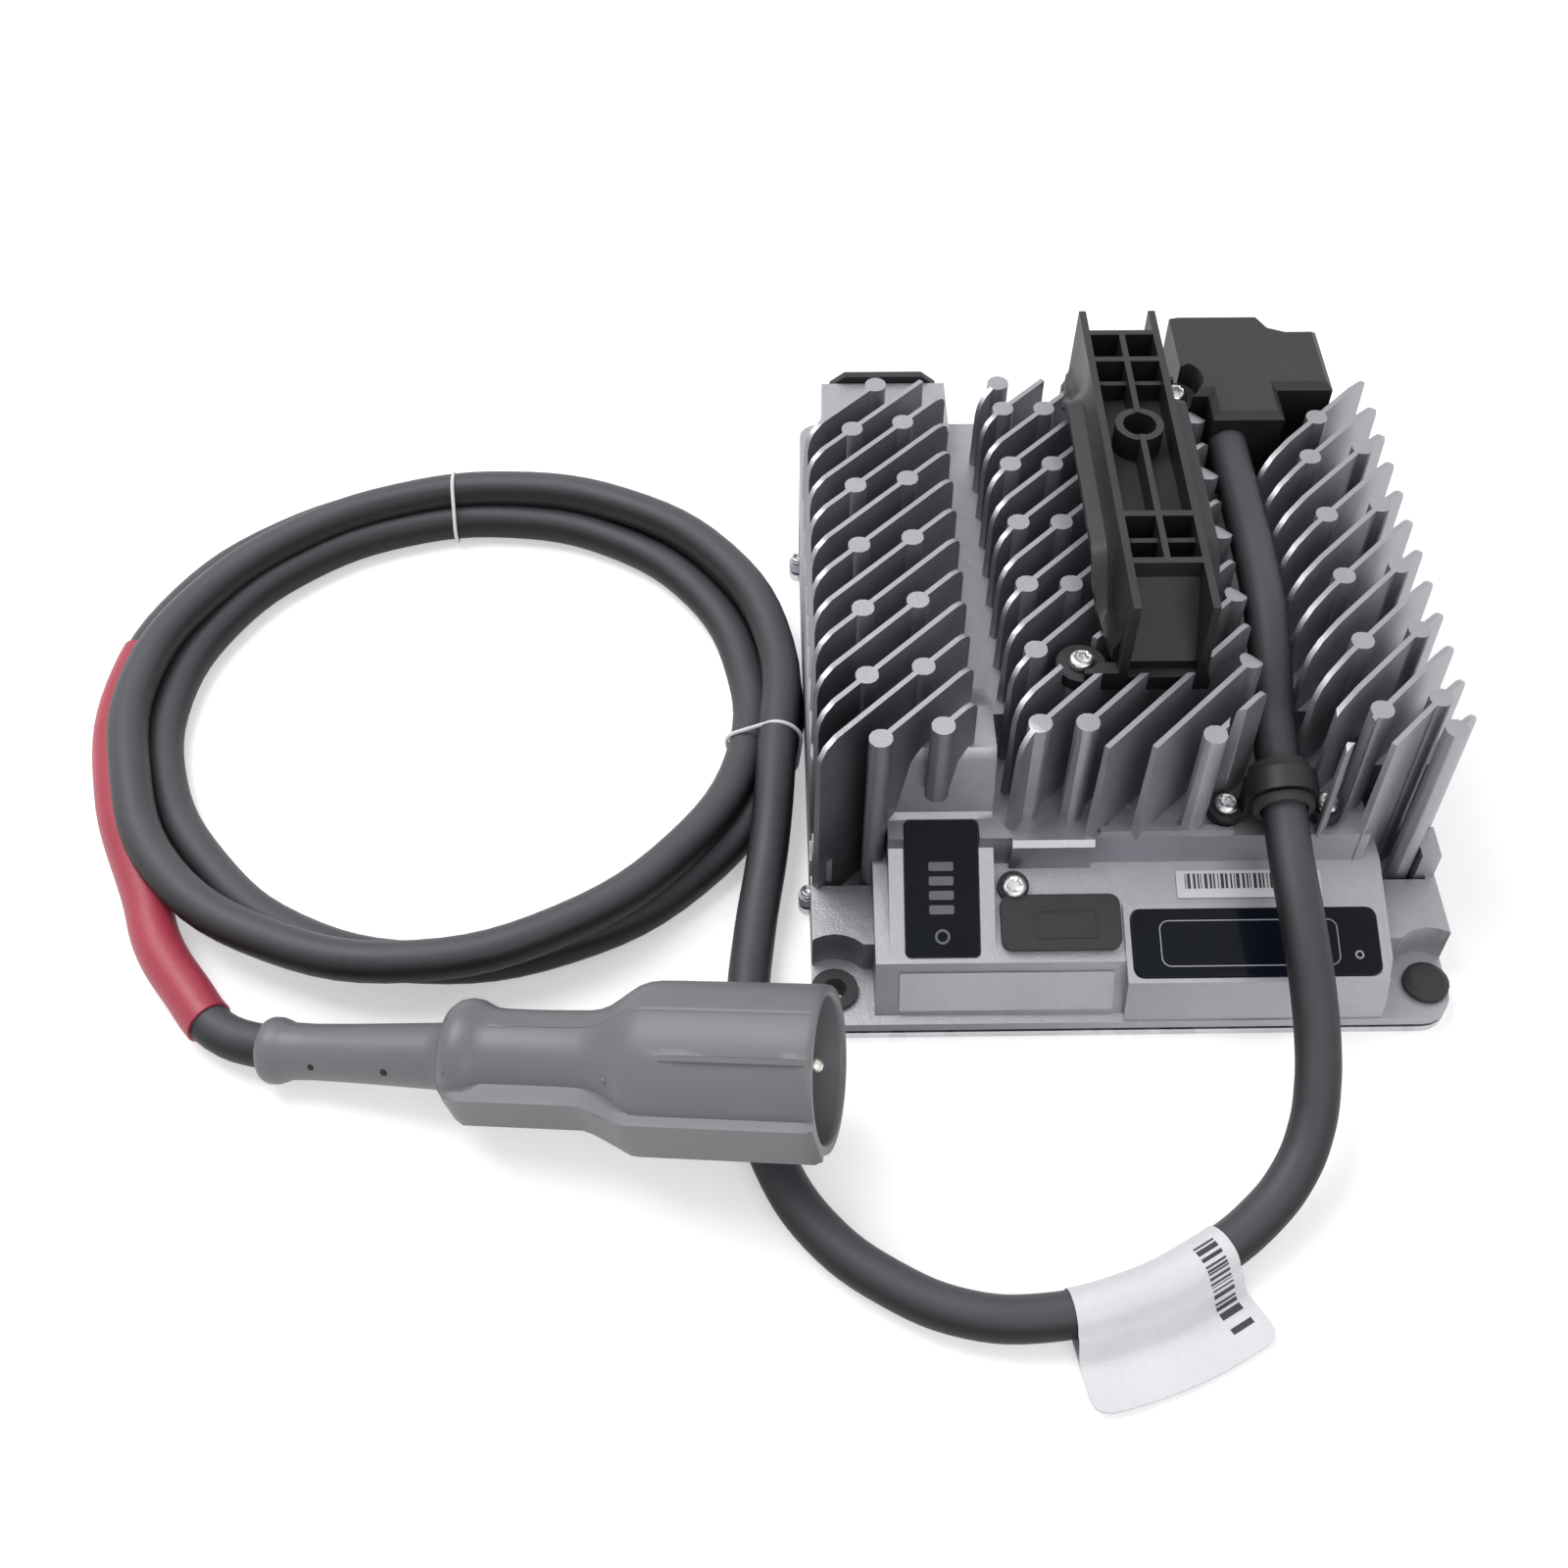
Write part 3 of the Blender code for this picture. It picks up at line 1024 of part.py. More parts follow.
for i, (x, z) in enumerate(blades, 1):
    w = INLET_PIN_THICKNESS / 2
    h = INLET_PIN_WIDTH / 2
    tip = mouth_floor + INLET_PIN_LENGTH
    ring = [(x - w, z - h), (x + w, z - h), (x + w, z + h), (x - w, z + h)]
    rings = [[(px, mouth_floor - blade_root, pz) for px, pz in ring],
             [(px, tip - 0.001, pz) for px, pz in ring],
             [(x + (px - x) * 0.5, tip, z + (pz - z) * 0.7) for px, pz in ring]]
    loft(rings, f"inlet_blade_{i}", BRASS)
    slots.append(slab_y(grown(ring, GAP), mouth_floor - blade_root - GAP, inlet_face))
cut(inlet, slab_y(mouth, mouth_floor, FAR), *slots)

# Right-angle hood over its header
hood_rings = [[(x, y, DECK_HEIGHT + GAP) for x, y in hood],
              [(x, y, HOOD_TOP - HOOD_CHAMFER) for x, y in hood],
              [(x, y, HOOD_TOP) for x, y in grown(hood, -HOOD_CHAMFER)]]
dc_hood = loft(hood_rings, "dc_hood", BLACK)
header_x = (HOOD_NOTCH_X + HOOD_STEP) / 2
header_y = (HOOD_NOTCH_Y + HOOD_BACK) / 2 - 0.008
header_low = (header_x - HEADER_WIDTH / 2, header_y - HEADER_LENGTH / 2, DECK_HEIGHT + GAP)
header_high = (header_x + HEADER_WIDTH / 2, header_y + HEADER_LENGTH / 2,
               DECK_HEIGHT + GAP + HEADER_HEIGHT)
block(header_low, header_high, "dc_header", BLACK)
cut(dc_hood, block((header_low[0] - GAP, header_low[1] - GAP, 0),
                   (header_high[0] + GAP, header_high[1] + GAP, header_high[2] + GAP)),
    rod(*feet[1], FOOT_RADIUS + 3 * GAP, 0, FAR, 20))

# Cord clamp: a ring on two screwed ears, holding the grommet
axis = Matrix.Translation((CLAMP_X, CLAMP_Y, CLAMP_Z)) @ Matrix.Rotation(
    math.pi / 2 + CLAMP_TILT, 4, "X")
ring_bore = GROMMET_WAIST / 2 + GAP
ring_outer = ring_bore + CLAMP_RING
clamp = moved(rod(0, 0, ring_outer, -CLAMP_WIDTH / 2, CLAMP_WIDTH / 2, 18), axis)
clamp.name = "cable_clamp"
clamp.data.materials.append(BLACK)
lowest = LOW_DECK_HEIGHT + GAP
wing_inner = GROMMET_COLLAR / 2 + GAP
half_y = CLAMP_WIDTH / 2 - 0.0004
clamp_parts = []
for side, (x, y) in zip((-1, 1), ears):
    xs = (CLAMP_X + side * wing_inner, CLAMP_X + side * (ring_outer - GAP / 2))
    clamp_parts.append(block((min(xs), y - half_y, lowest), (max(xs), y + half_y, CLAMP_Z)))
    xs = (CLAMP_X + side * wing_inner, x)
    clamp_parts.append(block((min(xs), y - half_y, lowest), (max(xs), y + half_y, ear_top)))
    clamp_parts.append(rod(x, y, CLAMP_EAR_RADIUS, lowest, ear_top, 16))
add(clamp, *clamp_parts)
cut(clamp, moved(rod(0, 0, ring_bore, -0.03, 0.03, 18), axis),
    *[screw_hole(seat, SCREW_SHANK, SHORT_SCREW_LENGTH) for seat in clamp_seats])
smooth(clamp)
for i, seat in enumerate(clamp_seats, 1):
    screw(f"clamp_screw_{i}", seat, SCREW_HEAD, SCREW_HEAD_HEIGHT, SCREW_SHANK,
          SHORT_SCREW_LENGTH, STEEL)
bore_radius = CORD_RADIUS + 2 * GAP
waist_half = CLAMP_WIDTH / 2 + GAP
collar_end = waist_half + GROMMET_COLLAR_WIDTH
grommet = turned([(bore_radius, -collar_end), (GROMMET_COLLAR / 2, -collar_end),
                  (GROMMET_COLLAR / 2, -waist_half), (GROMMET_WAIST / 2, -waist_half),
                  (GROMMET_WAIST / 2, waist_half), (GROMMET_COLLAR / 2, waist_half),
                  (GROMMET_COLLAR / 2, collar_end), (bore_radius, collar_end)],
                 18, "cable_grommet", RUBBER)
moved(grommet, axis)
smooth(grommet)


# Lead: routes of the cord, smoothed and sampled
def smooth_route(points, spacing):
    """Catmull-Rom curve through the points, read at an even spacing."""
    points = [Vector(p) for p in points]
    points = [points[0] * 2 - points[1]] + points + [points[-1] * 2 - points[-2]]
    fine = []
    for p0, p1, p2, p3 in zip(points, points[1:], points[2:], points[3:]):
        for i in range(24):
            t = i / 24
            fine.append(0.5 * (2 * p1 + (p2 - p0) * t + (2 * p0 - 5 * p1 + 4 * p2 - p3) * t * t
                               + (3 * p1 - p0 - 3 * p2 + p3) * t ** 3))
    fine.append(points[-2])
    length = sum((b - a).length for a, b in zip(fine, fine[1:]))
    count = max(2, round(length / spacing))
    samples = [fine[0]]
    travelled = 0.0
    for a, b in zip(fine, fine[1:]):
        step = (b - a).length
        while len(samples) < count and travelled + step >= length / count * len(samples):
            share = (length / count * len(samples) - travelled) / step
            samples.append(a.lerp(b, share))
        travelled += step
    samples.append(fine[-1])
    return samples


def cord(name, samples, radius, mat):
    """A round cord as a bevelled curve with closed ends."""
    data = bpy.data.curves.new(name, "CURVE")
    data.dimensions = "3D"
    data.bevel_depth = radius
    data.bevel_resolution = 4
    data.use_fill_caps = True
    spline = data.splines.new("POLY")
    spline.points.add(len(samples) - 1)
    for point, place in zip(spline.points, samples):
        point.co = (*place, 1)
    data.materials.append(mat)
    made = bpy.data.objects.new(name, data)
    bpy.context.scene.collection.objects.link(made)
    return made


def stretch(samples, start, end):
    """The part of a sampled cord between two distances along it."""
    kept = []
    travelled = 0.0
    for a, b in zip(samples, samples[1:]):
        step = (b - a).length
        for mark in (start, end):
            if travelled <= mark < travelled + step:
                kept.append(a.lerp(b, (mark - travelled) / step))
        travelled += step
        if start < travelled < end:
            kept.insert(len(kept), b)
    return kept


def frames(path):
    """Side and up directions at each point of a path."""
    made = []
    for i, here in enumerate(path):
        ahead = (path[min(i + 1, len(path) - 1)] - here).normalized()
        behind = (here - path[max(i - 1, 0)]).normalized()
        tangent = (ahead + behind).normalized()
        side = tangent.cross(Vector((0, 0, 1))).normalized()
        made.append((here, side, side.cross(tangent)))
    return made


def pipe(path, inner, outer, sides, name, mat):
    """A hollow tube along a path."""
    bm = bmesh.new()
    rows = []
    for here, side, up in frames(path):
        row = []
        for radius in (inner, outer):
            ring = []
            for k in range(sides):
                angle = 2 * math.pi * (k + 0.5) / sides
                offset = side * math.cos(angle) * radius + up * math.sin(angle) * radius
                ring.append(bm.verts.new(here + offset))
            row.append(ring)
        rows.append(row)
    for k in range(sides):
        j = (k + 1) % sides
        for near, far in zip(rows, rows[1:]):
            for ring in (0, 1):
                bm.faces.new((near[ring][k], near[ring][j], far[ring][j], far[ring][k]))
        for row in (rows[0], rows[-1]):
            bm.faces.new((row[0][k], row[0][j], row[1][j], row[1][k]))
    made = object_from(bm, name, mat)
    smooth(made)
    return made


drop = Vector((0, -math.cos(CLAMP_TILT), -math.sin(CLAMP_TILT)))
held = Vector((CLAMP_X, CLAMP_Y, CLAMP_Z))
beside = COIL_OUTER + GAP + CORD_RADIUS
route = [(CORD_X, HOOD_FRONT - GAP, CORD_Z), (CORD_X, 0.035, CORD_Z), (CORD_X, 0.005, CORD_Z),
         (CORD_X - 0.0002, -0.012, 0.0748), (CORD_X - 0.0005, -0.0285, 0.0695),
         (CLAMP_X, -0.0425, 0.0622), held - drop * 0.011, held + drop * 0.011,
         (0.0414, -0.088, 0.0496), (0.0422, -0.100, 0.0458), (0.0431, -0.1114, 0.0412),
         (0.0439, -0.1226, 0.0356), (0.0441, -0.1336, 0.0299), (0.0432, -0.1440, 0.0247),
         (0.0408, -0.1542, 0.0191), (0.0351, -0.1650, 0.0138), (0.0245, -0.1762, 0.0099),
         (0.0082, -0.1874, 0.0080), (-0.0137, -0.1977, 0.0079), (-0.0364, -0.2026, 0.0078),
         (-0.0560, -0.2010, 0.0072), (-0.0759, -0.1919, 0.0067), (-0.0938, -0.1768, 0.0066),
         (-0.1060, -0.1560, 0.0066), (-0.1118, -0.1330, 0.0066), (-0.1132, -0.1060, 0.0067),
         (-0.1108, -0.0790, 0.0075), (-0.1064, -0.0500, 0.0084)]
for degrees, extra in ((-16, COIL_ASIDE), (-5, 0.0089), (8, 0.0089), (22, 0.0080), (36, 0.0058),
                       (49, 0.0026), (60, 0.0003)):
    angle = math.radians(degrees)
    radius = beside + extra
    route.append((COIL_X + radius * math.cos(angle), COIL_Y + radius * math.sin(angle), 0.0089))
lead = smooth_route(route, 2 * CORD_DIAMETER)
cord("cord_lead", lead, CORD_RADIUS, JACKET)

# Coil: one turned ring for the turns lying on each other
coil_z = COIL_LIFT + COIL_HEIGHT
bulge = 0.003
coil = turned([(COIL_INNER, COIL_LIFT + bulge), (COIL_INNER + bulge, COIL_LIFT),
               (COIL_OUTER - bulge, COIL_LIFT), (COIL_OUTER, COIL_LIFT + bulge),
               (COIL_OUTER, coil_z - bulge), (COIL_OUTER - bulge, coil_z),
               (COIL_INNER + bulge, coil_z), (COIL_INNER, coil_z - bulge)], 40, "cord_coil", JACKET)
coil.location = (COIL_X, COIL_Y, 0)
smooth(coil)

# Plug end of the lead, its sleeve and its plug
plug_axis = Vector((math.cos(PLUG_TILT) * math.cos(PLUG_HEADING),
                    math.cos(PLUG_TILT) * math.sin(PLUG_HEADING), math.sin(PLUG_TILT)))
tail = []
for degrees, extra, z in ((150, 0.0003, 0.0095), (161, 0.0016, 0.0088), (173, 0.0016, 0.0084),
                          (186, 0.0016, 0.0084), (199, 0.0018, 0.0084), (212, 0.0038, 0.0084),
                          (224, 0.0088, 0.0084)):
    angle = math.radians(degrees)
    radius = beside + extra
    tail.append((COIL_X + radius * math.cos(angle), COIL_Y + radius * math.sin(angle), z))
tail += [(-0.2893, -0.0822, 0.0083), (-0.2780, -0.0985, 0.0082), (-0.2660, -0.1124, 0.0080),
         PLUG_TIP - plug_axis * 0.0024]
plug_lead = smooth_route(tail, 1.2 * CORD_DIAMETER)
cord("cord_plug_lead", plug_lead, CORD_RADIUS, JACKET)
sleeve_inner = CORD_RADIUS + SLEEVE_CLEARANCE
pipe(stretch(plug_lead, 0.026, 0.205), sleeve_inner, sleeve_inner + SLEEVE_THICKNESS, 10,
     "heat_sleeve", RED)

plug_side = plug_axis.cross(Vector((0, 0, 1))).normalized()
plug_up = plug_side.cross(plug_axis)
plug_frame = Matrix((plug_up, plug_side, plug_axis)).transposed().to_4x4()
plug_frame.translation = PLUG_TIP
boot = PLUG_BOOT / 2
collar = PLUG_COLLAR / 2
neck = PLUG_NECK / 2
barrel = PLUG_BARREL / 2
socket = barrel - PLUG_WALL
mouth_base = PLUG_LENGTH - PLUG_MOUTH_DEPTH
plug_profile = [(0, 0), (boot + 0.0002, 0), (boot + 0.0005, 0.0022), (boot - 0.0004, 0.0042),
                (boot + 0.0002, PLUG_BOOT_LENGTH), (collar - 0.0012, PLUG_BOOT_LENGTH + 0.0014),
                (collar, PLUG_BOOT_LENGTH + 0.003), (collar, PLUG_BOOT_LENGTH + 0.0065),
                (neck + 0.0012, PLUG_BOOT_LENGTH + 0.0105), (neck, PLUG_BOOT_LENGTH + 0.014),
                (neck, PLUG_BARREL_START - 0.014), (neck + 0.0012, PLUG_BARREL_START - 0.0105),
                (barrel - 0.0015, PLUG_BARREL_START - 0.002), (barrel, PLUG_BARREL_START + 0.002),
                (barrel, PLUG_LENGTH), (socket, PLUG_LENGTH), (socket, mouth_base),
                (0, mouth_base)]
plug = turned(plug_profile, 24, "battery_plug", GREY)
keel = block((-0.0045, neck - 0.004, PLUG_BOOT_LENGTH + 0.004),
             (0.0045, collar - 0.0003, PLUG_BARREL_START - 0.002))
key = block((-0.0075, barrel - 0.0026, PLUG_BARREL_START + 0.001),
            (0.0075, barrel + 0.0012, PLUG_LENGTH - 0.012))
add(plug, moved(keel, Matrix.Rotation(math.radians(28), 4, "Z")),
    moved(key, Matrix.Rotation(math.radians(40), 4, "Z")))
contacts = []
for i in range(3):
    angle = math.radians(CONTACT_START + 120 * i)
    x = CONTACT_RADIUS * math.cos(angle)
    y = CONTACT_RADIUS * math.sin(angle)
    r = CONTACT_DIAMETER / 2
    tip = mouth_base - CONTACT_ROOT + CONTACT_LENGTH
    contact = turned([(0, mouth_base - CONTACT_ROOT), (r, mouth_base - CONTACT_ROOT),
                      (r, tip - r * 0.7), (r * 0.6, tip), (0, tip)], 10,
                     f"plug_contact_{i + 1}", BRASS)
    moved(contact, Matrix.Translation((x, y, 0)))
    contact.matrix_world = plug_frame
    smooth(contact)
    contacts.append(rod(x, y, r + GAP, mouth_base - CONTACT_ROOT - GAP, mouth_base + EMBED, 12))
cut(plug, *contacts)
plug.matrix_world = plug_frame
smooth(plug)


# Wire ties round the coil
def tie(name, degrees, section):
    """A closed loop of wire round a section given as (radius, z) corners."""
    angle = math.radians(degrees)
    out = Vector((math.cos(angle), math.sin(angle), 0))
    across = Vector((-out.y, out.x, 0))
    path = []
    centre = Vector((COIL_X, COIL_Y, 0))
    corners = grown(section, GAP + TIE_DIAMETER / 2)
    count = len(corners)
    for i in range(count):
        here = Vector(corners[i])
        for other in (Vector(corners[i - 1]), Vector(corners[(i + 1) % count])):
            spot = here + (other - here).normalized() * 0.0012
            path.append(centre + out * spot.x + Vector((0, 0, spot.y)))
    bm = bmesh.new()
    rows = []
    for i, here in enumerate(path):
        tangent = (path[(i + 1) % len(path)] - path[i - 1]).normalized()
        side = across.cross(tangent)
        row = []
        for k in range(6):
            turn = 2 * math.pi * k / 6
            offset = (side * math.cos(turn) + across * math.sin(turn)) * TIE_DIAMETER / 2
            row.append(bm.verts.new(here + offset))
        rows.append(row)
    for i, near in enumerate(rows):
        far = rows[(i + 1) % len(rows)]
        for k in range(6):
            j = (k + 1) % 6
            bm.faces.new((near[k], near[j], far[j], far[k]))
    smooth(object_from(bm, name, TIE), 60)


tie("coil_tie_1", 92, [(COIL_INNER, COIL_LIFT), (COIL_OUTER, COIL_LIFT), (COIL_OUTER, coil_z),
                       (COIL_INNER, coil_z)])
outer_r = beside + COIL_ASIDE + CORD_RADIUS
tie("coil_tie_2", -16, [(COIL_INNER, COIL_LIFT), (outer_r, COIL_LIFT), (outer_r, 0.0155),
                        (COIL_OUTER, coil_z), (COIL_INNER, coil_z)])

# Flag label: wrapped round the lead, its two ends joined as a flag on the floor
flag_inner = CORD_RADIUS + SLEEVE_CLEARANCE
flag_outer = flag_inner + FLAG_THICKNESS
arc = [math.radians(-85 + 320 * i / 12) for i in range(13)]
flag_profile = [(-FLAG_LENGTH, -flag_outer), (0, -flag_outer)]
flag_profile += [(flag_outer * math.cos(a), flag_outer * math.sin(a)) for a in arc]
flag_profile += [(flag_inner * math.cos(a), flag_inner * math.sin(a)) for a in arc[::-1]]
flag_profile += [(0, -flag_inner), (-FLAG_LENGTH, -flag_inner)]
flag_rings = []
for here, side, up in frames(stretch(lead, FLAG_START, FLAG_START + FLAG_WIDTH)):
    side = Vector((side.x, side.y, 0)).normalized()
    flag_rings.append([here + side * x + Vector((0, 0, z)) for x, z in flag_profile])
flag = loft(flag_rings, "flag_label", WHITE)
smooth(flag, 50)

# Electronics inside, screwed up against the posts
board = plan(rounded(board_left, board_right, board_front, board_back, 0.003), BOARD_Z,
             BOARD_Z + BOARD_THICKNESS, "circuit_board", BOARD)
cut(board, *[screw_hole(seat, BOARD_SCREW_SHANK, BOARD_SCREW_LENGTH) for seat in board_seats])
for i, seat in enumerate(board_seats, 1):
    screw(f"board_screw_{i}", seat, BOARD_SCREW_HEAD, BASE_SCREW_HEAD_HEIGHT, BOARD_SCREW_SHANK,
          BOARD_SCREW_LENGTH, STEEL)
parts_z = BOARD_Z + BOARD_THICKNESS + GAP
part_height = DECK_HEIGHT - WALL - PART_HEADROOM - parts_z
board_x = (board_left, board_right)
board_y = (board_front, board_back)
transformer = block((-CORE_WIDTH / 2, -CORE_DEPTH / 2, 0),
                    (CORE_WIDTH / 2, CORE_DEPTH / 2, part_height), "transformer", FERRITE)
winding = rounded(-WINDING_WIDTH / 2, WINDING_WIDTH / 2, -WINDING_DEPTH / 2, WINDING_DEPTH / 2,
                  WINDING_WIDTH / 5)
add(transformer, plan(winding, WINDING_END, part_height - WINDING_END))
transformer.location = (share_of(board_x, CORE_SHARE[0]), share_of(board_y, CORE_SHARE[1]), parts_z)
bore = CHOKE_BORE / 2
rim_r = CHOKE_OUTER / 2
choke = turned([(bore, 0), (rim_r - CHOKE_EDGE, 0), (rim_r, CHOKE_EDGE), (rim_r, CHOKE_HEIGHT - CHOKE_EDGE),
                (rim_r - CHOKE_EDGE, CHOKE_HEIGHT), (bore, CHOKE_HEIGHT)], 18, "choke", COPPER)
choke.location = (share_of(board_x, CHOKE_SHARE[0]), share_of(board_y, CHOKE_SHARE[1]), parts_z)
smooth(choke)
can_r = CAN_DIAMETER / 2
for i in range(3):
    can = turned([(0, 0), (can_r, 0), (can_r, part_height - CAN_EDGE), (can_r - CAN_EDGE, part_height),
                  (0, part_height)], 16, f"capacitor_{i + 1}", CAN)
    can.location = (board_right - CAN_INSET - CAN_PITCH * (2 - i), board_back - CAN_BACK, parts_z)
    smooth(can)
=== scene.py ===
import math

import bmesh
import bpy
from mathutils import Matrix, Vector
from mathutils.geometry import interpolate_bezier


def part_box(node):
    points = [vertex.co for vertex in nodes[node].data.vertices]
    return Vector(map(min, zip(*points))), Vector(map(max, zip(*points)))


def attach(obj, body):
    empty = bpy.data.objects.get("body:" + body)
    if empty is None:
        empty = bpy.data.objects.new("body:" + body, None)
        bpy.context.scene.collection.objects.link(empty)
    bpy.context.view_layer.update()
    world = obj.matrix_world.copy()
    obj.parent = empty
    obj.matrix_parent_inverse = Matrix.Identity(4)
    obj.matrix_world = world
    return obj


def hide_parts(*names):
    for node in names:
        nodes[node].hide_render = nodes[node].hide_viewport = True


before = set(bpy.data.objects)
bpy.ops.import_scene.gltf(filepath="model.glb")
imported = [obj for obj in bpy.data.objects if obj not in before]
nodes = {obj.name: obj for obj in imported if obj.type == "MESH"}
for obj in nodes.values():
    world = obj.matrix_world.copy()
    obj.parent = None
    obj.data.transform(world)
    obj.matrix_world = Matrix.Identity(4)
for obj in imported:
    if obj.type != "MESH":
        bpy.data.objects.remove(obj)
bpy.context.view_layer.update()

# Viewpoint of the photograph: a hand-held picture taken from over the front
# edge of the charger, a little to its left, looking down at about 51 degrees.
# The whole coil of the lead and the flag label are in the frame.
down = math.radians(51.08)
look = Matrix.Rotation(math.radians(-1.34), 3, "Z") @ Matrix.Rotation(-down, 3, "X")
tilted = look @ Matrix.Rotation(math.radians(-0.45), 3, "Y")
right, forward, above = tilted.col
camera = bpy.data.objects.new("camera", bpy.data.cameras.new("camera"))
camera.data.lens = 43.45
camera.data.sensor_width = 36
camera.matrix_world = Matrix.Translation((-0.110, -0.4035, 0.4799)) @ Matrix(
    (right, above, -forward)).transposed().to_4x4()
bpy.context.scene.collection.objects.link(camera)
bpy.context.scene.camera = camera


# Table and light: a flat pale table that shows white to the camera and keeps the
# charger's soft shadow.  One broad lamp hangs over the left of the table, a
# weaker one fills from the front, and the room gives the rest.
class Wire:
    """An output in a shader tree.  Sums on it add Math nodes, node() adds any other."""

    def __init__(self, tree, socket=None):
        self.tree = tree
        self.socket = socket

    def node(self, kind, settings=None, inputs=None, output=0):
        made = self.tree.nodes.new("ShaderNode" + kind)
        for name, value in (settings or {}).items():
            setattr(made, name, value)
        for name, value in (inputs or {}).items():
            if isinstance(value, Wire):
                self.tree.links.new(value.socket, made.inputs[name])
            else:
                made.inputs[name].default_value = value
        return Wire(self.tree, made.outputs[output])

    def sum(self, operation, first, second):
        return self.node("Math", {"operation": operation}, {0: first, 1: second})

    def __add__(self, other):
        return self.sum("ADD", self, other)

    def __radd__(self, other):
        return self.sum("ADD", other, self)

    def __sub__(self, other):
        return self.sum("SUBTRACT", self, other)

    def __rsub__(self, other):
        return self.sum("SUBTRACT", other, self)

    def __mul__(self, other):
        return self.sum("MULTIPLY", self, other)

    def __rmul__(self, other):
        return self.sum("MULTIPLY", other, self)

    def tint(self, low, high):
        """This value as a blend between two colours."""
        inputs = {0: self, 6: low, 7: high}
        return self.node("Mix", {"data_type": "RGBA"}, inputs, 2)

    def into(self, shader, name):
        self.tree.links.new(self.socket, shader.inputs[name])


def new_finish(name, roughness, metallic=0.0):
    """A material with its shader, and a Wire to start its patterns from."""
    made = bpy.data.materials.new(name)
    made.use_nodes = True
    shader = made.node_tree.nodes["Principled BSDF"]
    shader.inputs["Roughness"].default_value = roughness
    shader.inputs["Metallic"].default_value = metallic
    return made, shader, Wire(made.node_tree)


def seen(wire):
    """1 for what the camera sees, directly, in a reflection or through glass."""
    ray = wire.node("LightPath")
    sockets = ray.socket.node.outputs
    glossy = Wire(wire.tree, sockets["Is Glossy Ray"])
    through = Wire(wire.tree, sockets["Is Transmission Ray"])
    return wire.sum("MAXIMUM", wire.sum("MAXIMUM", ray, glossy), through)


table_paint, table_shader, wire = new_finish("white_table", 0.9)
speck = wire.node("TexNoise", None, {"Scale": 40.0, "Detail": 3.0})
speck.tint((0.79, 0.79, 0.79, 1), (0.81, 0.81, 0.81, 1)).into(table_shader, "Base Color")
table_shader.inputs["Specular IOR Level"].default_value = 0.0
table_shader.inputs["Emission Color"].default_value = (1, 1, 1, 1)
glow = seen(wire) * 0.42
lit = wire.node("Emission", None, {"Color": (1, 1, 1, 1), "Strength": glow})
both = wire.node("AddShader", None, {0: Wire(wire.tree, table_shader.outputs[0]), 1: lit})
wire.tree.links.new(both.socket, wire.tree.nodes["Material Output"].inputs["Surface"])
table_mesh = bpy.data.meshes.new("table")
half_table, table_top = 4, -0.0003
corners = [(x * half_table, y * half_table, table_top)
           for x, y in ((-1, -1), (1, -1), (1, 1), (-1, 1))]
table_mesh.from_pydata(corners, [], [(0, 1, 2, 3)])
table_mesh.materials.append(table_paint)
table = bpy.data.objects.new("table", table_mesh)
bpy.context.scene.collection.objects.link(table)

room = bpy.data.worlds.new("room")
room.use_nodes = True
wire = Wire(room.node_tree)
room_light = 0.55 + 0.45 * seen(wire)
room_shader = room.node_tree.nodes["Background"]
room_shader.inputs["Color"].default_value = (1, 1, 1, 1)
room_light.into(room_shader, "Strength")
bpy.context.scene.world = room

for name, place, size, power in (
        ("key_lamp", (-0.55, 0.25, 1.0), 0.7, 9.0),
        ("front_lamp", (0.25, -0.95, 0.75), 0.6, 3.0)):
    lamp = bpy.data.objects.new(name, bpy.data.lights.new(name, "AREA"))
    lamp.data.size = size
    lamp.data.energy = power
    lamp.location = place
    lamp.rotation_euler = Vector(place).to_track_quat("Z", "Y").to_euler()
    bpy.context.scene.collection.objects.link(lamp)


# Base plate: a galvanised steel sheet that closes the casting from below on a
# thin rubber gasket.  Four small pan screws hold it up against the side tabs
# of the casting.
def dress(finish, *names):
    """Give CAD nodes a finish."""
    for name in names:
        for slot in nodes[name].material_slots:
            slot.material = finish


def place_in(wire):
    """The place on the charger, in metres."""
    return wire.node("TexCoord", None, None, "Object")


def noise(wire, scale, detail, distortion=0.0):
    """Noise from 0 to 1 through the charger, with this many cells per metre."""
    return wire.node("TexNoise", None, {"Vector": place_in(wire), "Scale": scale,
                                        "Detail": detail, "Distortion": distortion})


def bumped(wire, height, distance, shader):
    """Relief of a height pattern, in metres."""
    inputs = {"Height": height, "Distance": distance}
    wire.node("Bump", None, inputs).into(shader, "Normal")


zinc, shader, wire = new_finish("galvanised_sheet", 0.4, 1.0)
place = place_in(wire)
spangle = wire.node("TexVoronoi", None, {"Vector": place, "Scale": 160.0}, "Color")
spangle = wire.node("SeparateColor", None, {0: spangle})
rolled = noise(wire, 700.0, 2.0)
spangle.tint((0.50, 0.51, 0.53, 1), (0.62, 0.63, 0.65, 1)).into(shader, "Base Color")
(0.32 + 0.14 * spangle).into(shader, "Roughness")
bumped(wire, rolled, 0.00006, shader)
dress(zinc, "base_plate")

rubber, shader, wire = new_finish("black_rubber", 0.7)
dust = noise(wire, 90.0, 5.0)
pores = noise(wire, 1800.0, 2.0)
dust.tint((0.016, 0.016, 0.017, 1), (0.034, 0.034, 0.036, 1)).into(shader, "Base Color")
(0.58 + 0.25 * dust).into(shader, "Roughness")
bumped(wire, pores, 0.00005, shader)
dress(rubber, "base_gasket")


